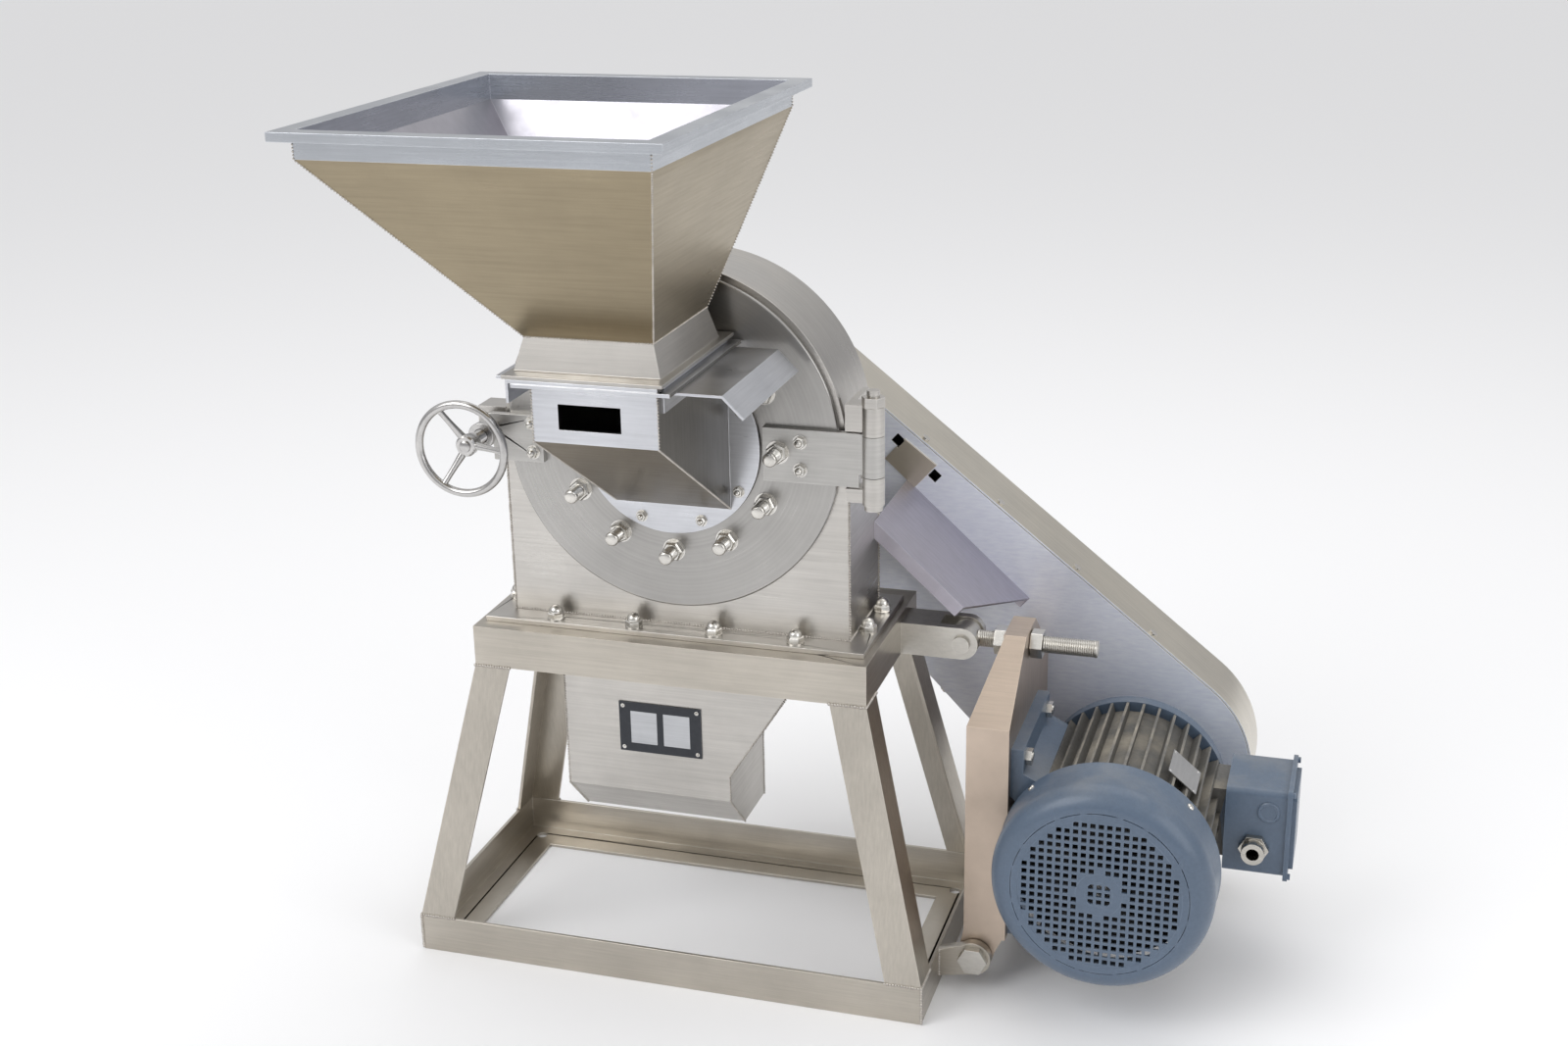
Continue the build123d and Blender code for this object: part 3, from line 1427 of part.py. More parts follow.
neck_levels = (
    (flange_high, neck_left - flare, neck_right + flare, neck_front - flare, neck_back + flare),
    (neck_top, neck_left, neck_right, neck_front, neck_back),
)
band_sides = (rim_left + rim_out, rim_right - rim_out, rim_front + rim_out, rim_back - rim_out)
with BuildPart() as hopper_neck:
    with BuildSketch(Plane.XY.offset(flange_low)):
        box_sketch(flange_left, flange_right, flange_front, flange_rear)
    extrude(amount=hopper_flange)
    for level, left, right, front, back in neck_levels:
        with BuildSketch(Plane.XY.offset(level)):
            box_sketch(left, right, front, back)
    loft(ruled=True)
    for level, left, right, front, back in neck_levels:
        with BuildSketch(Plane.XY.offset(level)):
            box_sketch(left, right, front, back, sheet)
    loft(ruled=True, mode=Mode.SUBTRACT)
    with BuildSketch(Plane.XY.offset(flange_low)):
        box_sketch(*neck_levels[0][1:], sheet)
    extrude(amount=hopper_flange, mode=Mode.SUBTRACT)
save(hopper_neck, "hopper_neck")

with BuildPart() as hopper:
    # sloping sides
    for level, sides in ((neck_top, neck_levels[1][1:]), (band_low, band_sides)):
        with BuildSketch(Plane.XY.offset(level)):
            box_sketch(*sides)
    loft(ruled=True)
    # upright band and outward rim with a folded lip
    with BuildSketch(Plane.XY.offset(band_low)):
        box_sketch(*band_sides)
    extrude(amount=rim_top - band_low)
    with BuildSketch(Plane.XY.offset(rim_top - sheet)):
        box_sketch(rim_left, rim_right, rim_front, rim_back)
    extrude(amount=sheet)
    with BuildSketch(Plane.XY.offset(rim_top - lip_drop)):
        box_sketch(rim_left, rim_right, rim_front, rim_back)
        with Locations(((rim_left + rim_right) / 2, (rim_front + rim_back) / 2)):
            Rectangle(
                rim_right - rim_left - 2 * sheet, rim_back - rim_front - 2 * sheet, mode=Mode.SUBTRACT
            )
    extrude(amount=lip_drop)
    # inside
    for level, sides in ((neck_top, neck_levels[1][1:]), (band_low, band_sides)):
        with BuildSketch(Plane.XY.offset(level)):
            box_sketch(*sides, sheet)
    loft(ruled=True, mode=Mode.SUBTRACT)
    with BuildSketch(Plane.XY.offset(band_low)):
        box_sketch(*band_sides, sheet)
    extrude(amount=rim_top - band_low, mode=Mode.SUBTRACT)
save(hopper, "hopper")
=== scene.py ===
"""Finishes, small parts and studio for a hammer mill on an angle-iron stand.

Laid out as an add-on: sizes and colours are properties, each group of pieces has an operator,
and a sidebar panel lists them. Everything is in metres, in the frame of the construction model.
"""
import math

import bmesh
import bpy
from mathutils import Euler, Matrix, Vector


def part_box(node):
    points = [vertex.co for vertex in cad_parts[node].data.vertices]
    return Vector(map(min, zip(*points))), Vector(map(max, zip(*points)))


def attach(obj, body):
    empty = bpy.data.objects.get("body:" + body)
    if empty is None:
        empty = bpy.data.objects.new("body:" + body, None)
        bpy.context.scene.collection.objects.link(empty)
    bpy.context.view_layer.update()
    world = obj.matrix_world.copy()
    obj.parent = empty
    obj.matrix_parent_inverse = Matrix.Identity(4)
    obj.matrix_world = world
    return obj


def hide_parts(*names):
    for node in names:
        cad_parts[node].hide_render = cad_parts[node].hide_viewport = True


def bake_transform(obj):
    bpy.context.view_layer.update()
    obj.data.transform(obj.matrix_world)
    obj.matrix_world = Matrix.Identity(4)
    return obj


bl_info = {
    "name": "Hammer mill",
    "version": (1, 0, 0),
    "blender": (4, 5, 0),
    "location": "3D View > Sidebar > Mill",
    "description": "Finishes, small parts and studio for a belt-driven hammer mill",
    "category": "Object",
}

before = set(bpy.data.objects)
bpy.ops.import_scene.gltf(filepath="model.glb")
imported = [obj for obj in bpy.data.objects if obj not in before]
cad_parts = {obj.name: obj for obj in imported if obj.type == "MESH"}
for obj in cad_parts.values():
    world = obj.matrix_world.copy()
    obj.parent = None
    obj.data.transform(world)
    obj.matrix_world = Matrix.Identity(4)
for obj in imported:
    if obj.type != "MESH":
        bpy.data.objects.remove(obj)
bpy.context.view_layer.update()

# Places that several pieces share, in metres.
AXIS_Z = 0.630
MOTOR_AXIS = Vector((0.493, 0.0, 0.180))
HOUSING_HALF = 0.200
HOUSING_FRONT = -0.065
HOUSING_BACK = 0.061
FLANGE_TOP = 0.413
DOOR_FACE = -0.072
COWL_RADIUS = 0.121
STRAP_FACE = -0.080
STAND_LOW, STAND_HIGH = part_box("base_frame")
TOP_LOW, TOP_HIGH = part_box("top_frame")
HOPPER_LOW, HOPPER_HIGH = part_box("hopper")

# Corners of a unit square, in order round it.
SQUARE = ((-1, -1), (1, -1), (1, 1), (-1, 1))


# ---------------------------------------------------------------- properties
class MillSizes(bpy.types.PropertyGroup):
    """Sizes of the details that are added to the construction model."""

    edge: bpy.props.FloatProperty(
        name="Edge radius", description="Rounding of cut and folded edges", default=0.0008, unit="LENGTH"
    )
    weld_pitch: bpy.props.FloatProperty(
        name="Weld pitch", description="Distance between ripples of a weld", default=0.0032, unit="LENGTH"
    )
    thread_pitch: bpy.props.FloatProperty(
        name="Thread pitch", description="Pitch of the studs and the rod", default=0.0025, unit="LENGTH"
    )
    thread_depth: bpy.props.FloatProperty(
        name="Thread depth", description="Depth of the thread", default=0.0011, unit="LENGTH"
    )


class MillColours(bpy.types.PropertyGroup):
    """Colours of the finishes."""

    steel: bpy.props.FloatVectorProperty(
        name="Stand steel",
        description="Brushed stainless of the stand",
        subtype="COLOR",
        default=(0.50, 0.465, 0.41),
    )
    housing: bpy.props.FloatVectorProperty(
        name="Housing steel",
        description="Brushed stainless of the housing",
        subtype="COLOR",
        default=(0.54, 0.52, 0.49),
    )
    door: bpy.props.FloatVectorProperty(
        name="Door steel",
        description="Turned stainless of the door",
        subtype="COLOR",
        default=(0.40, 0.39, 0.375),
    )
    olive: bpy.props.FloatVectorProperty(
        name="Hopper outside",
        description="Warm sheet of the hopper's outside",
        subtype="COLOR",
        default=(0.34, 0.285, 0.195),
    )
    pale: bpy.props.FloatVectorProperty(
        name="Pale sheet",
        description="Bright sheet inside the hopper",
        subtype="COLOR",
        default=(0.44, 0.43, 0.47),
    )
    guard: bpy.props.FloatVectorProperty(
        name="Guard sheet",
        description="Cool bright sheet of the belt guard",
        subtype="COLOR",
        default=(0.80, 0.83, 0.97),
    )
    swing: bpy.props.FloatVectorProperty(
        name="Swing plate",
        description="Warm sheet of the motor's plate",
        subtype="COLOR",
        default=(0.52, 0.43, 0.355),
    )
    motor: bpy.props.FloatVectorProperty(
        name="Motor paint",
        description="Blue-grey paint of the motor",
        subtype="COLOR",
        default=(0.085, 0.122, 0.178),
    )


class MillStage(bpy.types.PropertyGroup):
    """Camera and light."""

    lens: bpy.props.FloatProperty(name="Lens", description="Focal length in millimetres", default=46.3)
    key: bpy.props.FloatProperty(
        name="Key light", description="Power of the large light in watts", default=62.0
    )
    fill: bpy.props.FloatProperty(
        name="Fill light", description="Power of the other lights in watts", default=22.0
    )
    sky: bpy.props.FloatProperty(name="Sky", description="Brightness of the room", default=0.85)


# ---------------------------------------------------------------- shader groups
def wire(tree, source, target):
    """Link two sockets."""
    tree.links.new(source, target)


def shader_group(name, inputs, outputs):
    """An empty shader node group with named sockets, and its input and output nodes."""
    tree = bpy.data.node_groups.new(name, "ShaderNodeTree")
    for label, kind, value in inputs:
        socket = tree.interface.new_socket(label, in_out="INPUT", socket_type=kind)
        socket.default_value = value
    for label, kind in outputs:
        tree.interface.new_socket(label, in_out="OUTPUT", socket_type=kind)
    return tree, tree.nodes.new("NodeGroupInput"), tree.nodes.new("NodeGroupOutput")


def noise(tree, vector, scale, detail=3.0, rough=0.5):
    """A noise texture on a vector socket."""
    node = tree.nodes.new("ShaderNodeTexNoise")
    node.inputs["Detail"].default_value = detail
    node.inputs["Roughness"].default_value = rough
    wire(tree, vector, node.inputs["Vector"])
    if isinstance(scale, float):
        node.inputs["Scale"].default_value = scale
    else:
        wire(tree, scale, node.inputs["Scale"])
    return node.outputs["Fac"]


def spread(tree, value, low, high, out_low=0.0, out_high=1.0):
    """Map a value between two limits to two others."""
    node = tree.nodes.new("ShaderNodeMapRange")
    for index, number in enumerate((low, high, out_low, out_high)):
        node.inputs[index + 1].default_value = number
    wire(tree, value, node.inputs[0])
    return node.outputs[0]


def maths(tree, operation, first, second):
    """A math node on sockets or numbers."""
    node = tree.nodes.new("ShaderNodeMath")
    node.operation = operation
    for index, value in enumerate((first, second)):
        if isinstance(value, (int, float)):
            node.inputs[index].default_value = value
        else:
            wire(tree, value, node.inputs[index])
    return node.outputs[0]


def blend_colour(tree, factor, first, second):
    """Mix two colours, each a socket or an RGB triple."""
    node = tree.nodes.new("ShaderNodeMix")
    node.data_type = "RGBA"
    wire(tree, factor, node.inputs[0])
    for index, value in ((6, first), (7, second)):
        if isinstance(value, bpy.types.NodeSocket):
            wire(tree, value, node.inputs[index])
        else:
            node.inputs[index].default_value = (*value, 1.0)
    return node.outputs[2]


def make_grain_group():
    """Brushing lines that run one way, with slow clouds of tone."""
    tree, source, sink = shader_group(
        "Brushed grain",
        (
            ("Vector", "NodeSocketVector", (0, 0, 0)),
            ("Stretch", "NodeSocketVector", (30, 30, 500)),
            ("Cloud Scale", "NodeSocketFloat", 6.0),
        ),
        (("Tone", "NodeSocketFloat"), ("Height", "NodeSocketFloat"), ("Cloud", "NodeSocketFloat")),
    )
    stretch = tree.nodes.new("ShaderNodeVectorMath")
    stretch.operation = "MULTIPLY"
    wire(tree, source.outputs["Vector"], stretch.inputs[0])
    wire(tree, source.outputs["Stretch"], stretch.inputs[1])
    lines = noise(tree, stretch.outputs[0], 1.0, 4.0, 0.65)
    wire(tree, spread(tree, lines, 0.3, 0.7), sink.inputs["Tone"])
    wire(tree, noise(tree, stretch.outputs[0], 2.3, 3.0), sink.inputs["Height"])
    cloud = noise(tree, source.outputs["Vector"], source.outputs["Cloud Scale"], 5.0, 0.55)
    wire(tree, spread(tree, cloud, 0.3, 0.7), sink.inputs["Cloud"])
    return tree


def make_edge_wear_and_highlight_group():
    """A mask along edges, broken up by noise: it marks rubbed edges and a painted edge highlight."""
    tree, source, sink = shader_group(
        "Edge wear",
        (
            ("Vector", "NodeSocketVector", (0, 0, 0)),
            ("Radius", "NodeSocketFloat", 0.002),
            ("Breakup Scale", "NodeSocketFloat", 60.0),
        ),
        (("Mask", "NodeSocketFloat"),),
    )
    rounded = tree.nodes.new("ShaderNodeBevel")
    rounded.samples = 4
    wire(tree, source.outputs["Radius"], rounded.inputs["Radius"])
    plain = tree.nodes.new("ShaderNodeNewGeometry")
    dot = tree.nodes.new("ShaderNodeVectorMath")
    dot.operation = "DOT_PRODUCT"
    wire(tree, rounded.outputs[0], dot.inputs[0])
    wire(tree, plain.outputs["Normal"], dot.inputs[1])
    edge = spread(tree, dot.outputs["Value"], 0.99, 0.86)
    breakup = noise(tree, source.outputs["Vector"], source.outputs["Breakup Scale"], 3.0)
    patches = spread(tree, breakup, 0.35, 0.6)
    wire(tree, maths(tree, "MULTIPLY", edge, patches), sink.inputs["Mask"])
    return tree


def make_dust_group():
    """A mask of grain dust on faces that look up, and of smears elsewhere."""
    tree, source, sink = shader_group(
        "Meal dust",
        (
            ("Vector", "NodeSocketVector", (0, 0, 0)),
            ("Patch Scale", "NodeSocketFloat", 14.0),
            ("Smear Scale", "NodeSocketFloat", 9.0),
        ),
        (("Dust", "NodeSocketFloat"), ("Smear", "NodeSocketFloat")),
    )
    facing = tree.nodes.new("ShaderNodeNewGeometry")
    parts = tree.nodes.new("ShaderNodeSeparateXYZ")
    wire(tree, facing.outputs["Normal"], parts.inputs[0])
    up = spread(tree, parts.outputs["Z"], 0.55, 1.0)
    patches = noise(tree, source.outputs["Vector"], source.outputs["Patch Scale"], 6.0, 0.6)
    patch = spread(tree, patches, 0.42, 0.72)
    wire(tree, maths(tree, "MULTIPLY", up, patch), sink.inputs["Dust"])
    smear = noise(tree, source.outputs["Vector"], source.outputs["Smear Scale"], 6.0, 0.7)
    wire(tree, spread(tree, smear, 0.48, 0.75), sink.inputs["Smear"])
    return tree


GROUPS = {}


def group_node(tree, name, **numbers):
    """Place a shared group in a material with its own values, fed by object coordinates."""
    makers = {"Brushed grain": make_grain_group, "Edge wear": make_edge_wear_and_highlight_group, "Meal dust": make_dust_group}
    if name not in GROUPS:
        GROUPS[name] = makers[name]()
    node = tree.nodes.new("ShaderNodeGroup")
    node.node_tree = GROUPS[name]
    for label, value in numbers.items():
        node.inputs[label.replace("_", " ")].default_value = value
    return node


FINISHES = {}


def finish(name, colour, rough=(0.3, 0.45), metal=1.0, stretch=(30, 30, 500), bump=0.12,
           contrast=0.16, wear_and_highlight=0.5, dust=0.12, smear=0.2, coat=0.0, cloud=6.0, radial=None, turned=300.0):
    """A procedural material: brushed or painted, with clouds, edges lightened as rubbed metal and as a
    painted highlight, dust and smears.
    """
    if name in FINISHES:
        return FINISHES[name]
    material = bpy.data.materials.new(name)
    material.use_nodes = True
    tree = material.node_tree
    surface = next(node for node in tree.nodes if node.type == "BSDF_PRINCIPLED")
    place = tree.nodes.new("ShaderNodeTexCoord").outputs["Object"]
    if radial:
        # rings round an axis along Y, as a lathe leaves them
        centre = tree.nodes.new("ShaderNodeMapping")
        centre.inputs["Location"].default_value = (-radial[0], 0.0, -radial[1])
        wire(tree, place, centre.inputs["Vector"])
        flat = tree.nodes.new("ShaderNodeVectorMath")
        flat.operation = "MULTIPLY"
        flat.inputs[1].default_value = (1.0, 0.0, 1.0)
        wire(tree, centre.outputs[0], flat.inputs[0])
        length = tree.nodes.new("ShaderNodeVectorMath")
        length.operation = "LENGTH"
        wire(tree, flat.outputs[0], length.inputs[0])
        rings = tree.nodes.new("ShaderNodeCombineXYZ")
        wire(tree, length.outputs["Value"], rings.inputs["X"])
        grain_place = rings.outputs[0]
        stretch = (turned, 1.0, 1.0)
    else:
        grain_place = place
    grain = group_node(tree, "Brushed grain", Stretch=stretch, Cloud_Scale=cloud)
    wire(tree, grain_place, grain.inputs["Vector"])
    clouds = group_node(tree, "Brushed grain", Stretch=stretch, Cloud_Scale=cloud)
    wire(tree, place, clouds.inputs["Vector"])
    worn_and_lit_edges = group_node(tree, "Edge wear")
    wire(tree, place, worn_and_lit_edges.inputs["Vector"])
    soil = group_node(tree, "Meal dust")
    wire(tree, place, soil.inputs["Vector"])
    dark = tuple(c * (1.0 - contrast) for c in colour)
    light = tuple(min(1.0, c * (1.0 + contrast)) for c in colour)
    tone = maths(tree, "ADD", maths(tree, "MULTIPLY", grain.outputs["Tone"], 0.45),
                 maths(tree, "MULTIPLY", clouds.outputs["Cloud"], 0.55))
    shade = blend_colour(tree, tone, dark, light)
    # edges lightened along the edge mask: partly rubbed metal, partly a painted highlight where light would
    # catch a rounded edge
    worn_and_lit_edge_colour = tuple(min(1.0, c * 1.5 + 0.08) for c in colour)
    shade = blend_colour(tree, maths(tree, "MULTIPLY", worn_and_lit_edges.outputs["Mask"], wear_and_highlight), shade, worn_and_lit_edge_colour)
    smear_colour = tuple(c * 0.6 for c in colour)
    shade = blend_colour(tree, maths(tree, "MULTIPLY", soil.outputs["Smear"], smear), shade, smear_colour)
    meal = maths(tree, "MULTIPLY", soil.outputs["Dust"], dust)
    shade = blend_colour(tree, meal, shade, (0.60, 0.54, 0.44))
    wire(tree, shade, surface.inputs["Base Color"])
    roughness = maths(tree, "ADD", spread(tree, tone, 0.0, 1.0, rough[1], rough[0]),
                      maths(tree, "MULTIPLY", soil.outputs["Dust"], dust * 1.2))
    wire(tree, roughness, surface.inputs["Roughness"])
    surface.inputs["Metallic"].default_value = metal
    surface.inputs["Coat Weight"].default_value = coat
    surface.inputs["Coat Roughness"].default_value = 0.18
    relief = tree.nodes.new("ShaderNodeBump")
    relief.inputs["Strength"].default_value = bump
    relief.inputs["Distance"].default_value = 0.0006
    wire(tree, grain.outputs["Height"], relief.inputs["Height"])
    wire(tree, relief.outputs[0], surface.inputs["Normal"])
    material.diffuse_color = (*colour, 1.0)
    FINISHES[name] = material
    return material


def bright_steel():
    """Bright zinc and stainless of the small fasteners."""
    return finish("Bright fasteners", (0.66, 0.64, 0.60), (0.16, 0.3), stretch=(150, 150, 150), bump=0.05)


def weld_metal():
    """Rippled metal of the weld beads."""
    return finish("Weld metal", (0.50, 0.47, 0.43), (0.3, 0.5), stretch=(200, 200, 200))


# ---------------------------------------------------------------- pieces
def settle(piece, body, replaced=()):
    """Put a finished piece on its body and hide the nodes that it stands for."""
    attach(piece, body)
    if replaced:
        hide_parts(*replaced)
    return piece


def new_piece(name, mesh, materials):
    """An object at the origin for a finished mesh."""
    for material in materials:
        mesh.materials.append(material)
    piece = bpy.data.objects.new(name, mesh)
    bpy.context.scene.collection.objects.link(piece)
    return piece


def smooth(mesh, degrees=32.0):
    """Smooth shading with sharp edges past an angle."""
    mesh.polygons.foreach_set("use_smooth", [True] * len(mesh.polygons))
    mesh.set_sharp_from_angle(angle=math.radians(degrees))
    mesh.update()


def merged_copy(node):
    """A CAD node's mesh with its doubles merged."""
    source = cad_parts[node].data
    mesh = bpy.data.meshes.new(node + "_finished")
    mesh.from_pydata([v.co[:] for v in source.vertices], [], [p.vertices[:] for p in source.polygons])
    form = bmesh.new()
    form.from_mesh(mesh)
    bmesh.ops.remove_doubles(form, verts=form.verts, dist=0.00002)
    bmesh.ops.dissolve_degenerate(form, edges=form.edges, dist=0.00002)
    form.to_mesh(mesh)
    form.free()
    return mesh


def finished(node, body, materials, edge, choose=None):
    """A CAD node as a piece with rounded edges and its finish, one material or several chosen by face."""
    mesh = merged_copy(node)
    piece = new_piece(node + "_finished", mesh, materials)
    if choose:
        for polygon in mesh.polygons:
            polygon.material_index = choose(polygon.center, polygon.normal)
    mesh.polygons.foreach_set("use_smooth", [True] * len(mesh.polygons))
    if edge > 0:
        rounding = piece.modifiers.new("Rounded edges", "BEVEL")
        rounding.width = edge
        rounding.segments = 2
        rounding.limit_method = "ANGLE"
        rounding.angle_limit = math.radians(30.0)
        rounding.harden_normals = True
        rounding.use_clamp_overlap = True
    else:
        smooth(mesh)
    return settle(piece, body, (node,))


def carried(node, material):
    """Give a carried-over CAD node its finish."""
    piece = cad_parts[node]
    piece.data.materials.clear()
    piece.data.materials.append(material)


def mesh_of(name, form):
    """The form as a mesh; the form is freed."""
    mesh = bpy.data.meshes.new(name)
    form.to_mesh(mesh)
    form.free()
    return mesh


def bridge(form, first, second):
    """Faces between two loops of vertices with the same count."""
    for index in range(len(first)):
        after = (index + 1) % len(first)
        form.faces.new((first[index], first[after], second[after], second[index]))


def ring_mesh(name, rings, closed=False, caps=True):
    """A mesh through rings of points, each ring a closed loop with the same count."""
    form = bmesh.new()
    loops = [[form.verts.new(point) for point in ring] for ring in rings]
    pairs = list(zip(loops, loops[1:]))
    if closed:
        pairs.append((loops[-1], loops[0]))
    for first, second in pairs:
        bridge(form, first, second)
    if caps and not closed:
        form.faces.new(loops[0])
        form.faces.new(loops[-1])
    bmesh.ops.remove_doubles(form, verts=form.verts, dist=0.0000005)
    bmesh.ops.recalc_face_normals(form, faces=form.faces)
    mesh = mesh_of(name, form)
    smooth(mesh)
    return mesh


def joined(name, meshes):
    """Several meshes as one."""
    form = bmesh.new()
    for mesh in meshes:
        form.from_mesh(mesh)
    result = mesh_of(name, form)
    smooth(result)
    return result


def axis_frame(origin, direction):
    """A placing whose Z runs along a direction from a point."""
    turn = Vector(direction).normalized().to_track_quat("Z", "Y").to_matrix().to_4x4()
    return Matrix.Translation(Vector(origin)) @ turn


def lathe(name, place, profile, steps=48, closed=False):
    """A turned shape from (radius, height) pairs round the placing's Z."""
    rings = []
    for radius, height in profile:
        ring = []
        for step in range(steps):
            angle = math.tau * step / steps
            ring.append(place @ Vector((radius * math.cos(angle), radius * math.sin(angle), height)))
        rings.append(ring)
    return ring_mesh(name, rings, closed)


def thread(name, place, length, radius, sizes, steps=20, tip=0.0):
    """A screw thread along the placing's Z, with a rounded tip."""
    rings = []
    count = max(4, round(4 * length / sizes.thread_pitch))
    for level in range(count + 1):
        height = length * level / count
        fade = min(1.0, level / 4, (count - level) / 4)
        ring = []
        for step in range(steps):
            angle = math.tau * step / steps
            phase = (height / sizes.thread_pitch - step / steps) % 1.0
            dip = sizes.thread_depth * fade * (1.0 - abs(2.0 * phase - 1.0))
            out = radius - dip
            ring.append(place @ Vector((out * math.cos(angle), out * math.sin(angle), height)))
        rings.append(ring)
    for share in (0.45, 0.8, 1.0):
        if tip:
            out = radius - tip * (1.0 - math.sqrt(1.0 - share * share)) - 0.0001
            ring = []
            for step in range(steps):
                angle = math.tau * step / steps
                spot = Vector((out * math.cos(angle), out * math.sin(angle), length + tip * share))
                ring.append(place @ spot)
            rings.append(ring)
    return ring_mesh(name, rings)


def rod(name, start, end, radii, steps=16):
    """A round bar between two points, through radii at even distances."""
    place = axis_frame(start, Vector(end) - Vector(start))
    length = (Vector(end) - Vector(start)).length
    profile = [(radius, length * index / (len(radii) - 1)) for index, radius in enumerate(radii)]
    return lathe(name, place, profile, steps)


# ---------------------------------------------------------------- geometry nodes
TREES = {}


def node_tree(name, inputs):
    """A geometry node tree with named inputs; returns the tree, its input node and its output node."""
    tree = bpy.data.node_groups.new(name, "GeometryNodeTree")
    tree.interface.new_socket("Geometry", in_out="INPUT", socket_type="NodeSocketGeometry")
    for label, kind in inputs:
        tree.interface.new_socket(label, in_out="INPUT", socket_type=kind)
    tree.interface.new_socket("Geometry", in_out="OUTPUT", socket_type="NodeSocketGeometry")
    return tree, tree.nodes.new("NodeGroupInput"), tree.nodes.new("NodeGroupOutput")


def turned_part(tree, sides, bottom, top, depth, lift=None):
    """A cone or cylinder of a tree whose sizes come from the tree's inputs."""
    node = tree.nodes.new("GeometryNodeMeshCone")
    node.inputs["Vertices"].default_value = sides
    for label, value in (("Radius Bottom", bottom), ("Radius Top", top), ("Depth", depth)):
        wire(tree, value, node.inputs[label])
    if lift is None:
        return node.outputs["Mesh"]
    return raised(tree, node.outputs["Mesh"], lift)


def raised(tree, mesh, lift):
    """Move a mesh of a tree along its Z."""
    offset = tree.nodes.new("ShaderNodeCombineXYZ")
    wire(tree, lift, offset.inputs["Z"])
    move = tree.nodes.new("GeometryNodeTransform")
    wire(tree, mesh, move.inputs["Geometry"])
    wire(tree, offset.outputs[0], move.inputs["Translation"])
    return move.outputs[0]


def scatter(tree, source, sink, parts):
    """Put joined parts on the input's points, turned about their own axis, then realise and paint them."""
    group = tree.nodes.new("GeometryNodeJoinGeometry")
    for part in parts:
        wire(tree, part, group.inputs[0])
    copies = tree.nodes.new("GeometryNodeInstanceOnPoints")
    wire(tree, source.outputs["Geometry"], copies.inputs["Points"])
    wire(tree, group.outputs[0], copies.inputs["Instance"])
    wire(tree, source.outputs["Turn"], copies.inputs["Rotation"])
    chance = tree.nodes.new("FunctionNodeRandomValue")
    chance.data_type = "FLOAT"
    chance.inputs["Seed"].default_value = 7
    wire(tree, source.outputs["Spin"], chance.inputs[3])
    spin = tree.nodes.new("ShaderNodeCombineXYZ")
    wire(tree, chance.outputs[1], spin.inputs["Z"])
    turn = tree.nodes.new("GeometryNodeRotateInstances")
    wire(tree, copies.outputs[0], turn.inputs["Instances"])
    wire(tree, spin.outputs[0], turn.inputs["Rotation"])
    wire(tree, painted(tree, source, turn.outputs[0]), sink.inputs[0])


def painted(tree, source, geometry):
    """Realise instances and set the finish."""
    real = tree.nodes.new("GeometryNodeRealizeInstances")
    wire(tree, geometry, real.inputs[0])
    paint = tree.nodes.new("GeometryNodeSetMaterial")
    wire(tree, real.outputs[0], paint.inputs["Geometry"])
    wire(tree, source.outputs["Finish"], paint.inputs["Material"])
    return paint.outputs[0]


def nut_tree():
    """Washer, chamfered hexagon and dome on each point."""
    if "nuts" in TREES:
        return TREES["nuts"]
    tree, source, sink = node_tree(
        "Domed nuts",
        (
            ("Washer Radius", "NodeSocketFloat"),
            ("Washer Height", "NodeSocketFloat"),
            ("Hexagon Radius", "NodeSocketFloat"),
            ("Hexagon Height", "NodeSocketFloat"),
            ("Dome Radius", "NodeSocketFloat"),
            ("Turn", "NodeSocketRotation"),
            ("Spin", "NodeSocketFloat"),
            ("Finish", "NodeSocketMaterial"),
        ),
    )
    out = source.outputs
    washer = turned_part(tree, 28, out["Washer Radius"], out["Washer Radius"], out["Washer Height"])
    body_share = maths(tree, "MULTIPLY", out["Hexagon Height"], 0.78)
    top_share = maths(tree, "MULTIPLY", out["Hexagon Height"], 0.22)
    radius = out["Hexagon Radius"]
    hexagon = turned_part(tree, 6, radius, radius, body_share, out["Washer Height"])
    chamfer_radius = maths(tree, "MULTIPLY", radius, 0.86)
    chamfer_lift = maths(tree, "ADD", out["Washer Height"], body_share)
    chamfer = turned_part(tree, 6, radius, chamfer_radius, top_share, chamfer_lift)
    ball = tree.nodes.new("GeometryNodeMeshUVSphere")
    ball.inputs["Segments"].default_value = 18
    ball.inputs["Rings"].default_value = 12
    wire(tree, out["Dome Radius"], ball.inputs["Radius"])
    top = maths(tree, "ADD", out["Washer Height"], out["Hexagon Height"])
    dome = raised(tree, ball.outputs["Mesh"], top)
    scatter(tree, source, sink, (washer, hexagon, chamfer, dome))
    TREES["nuts"] = tree
    return tree


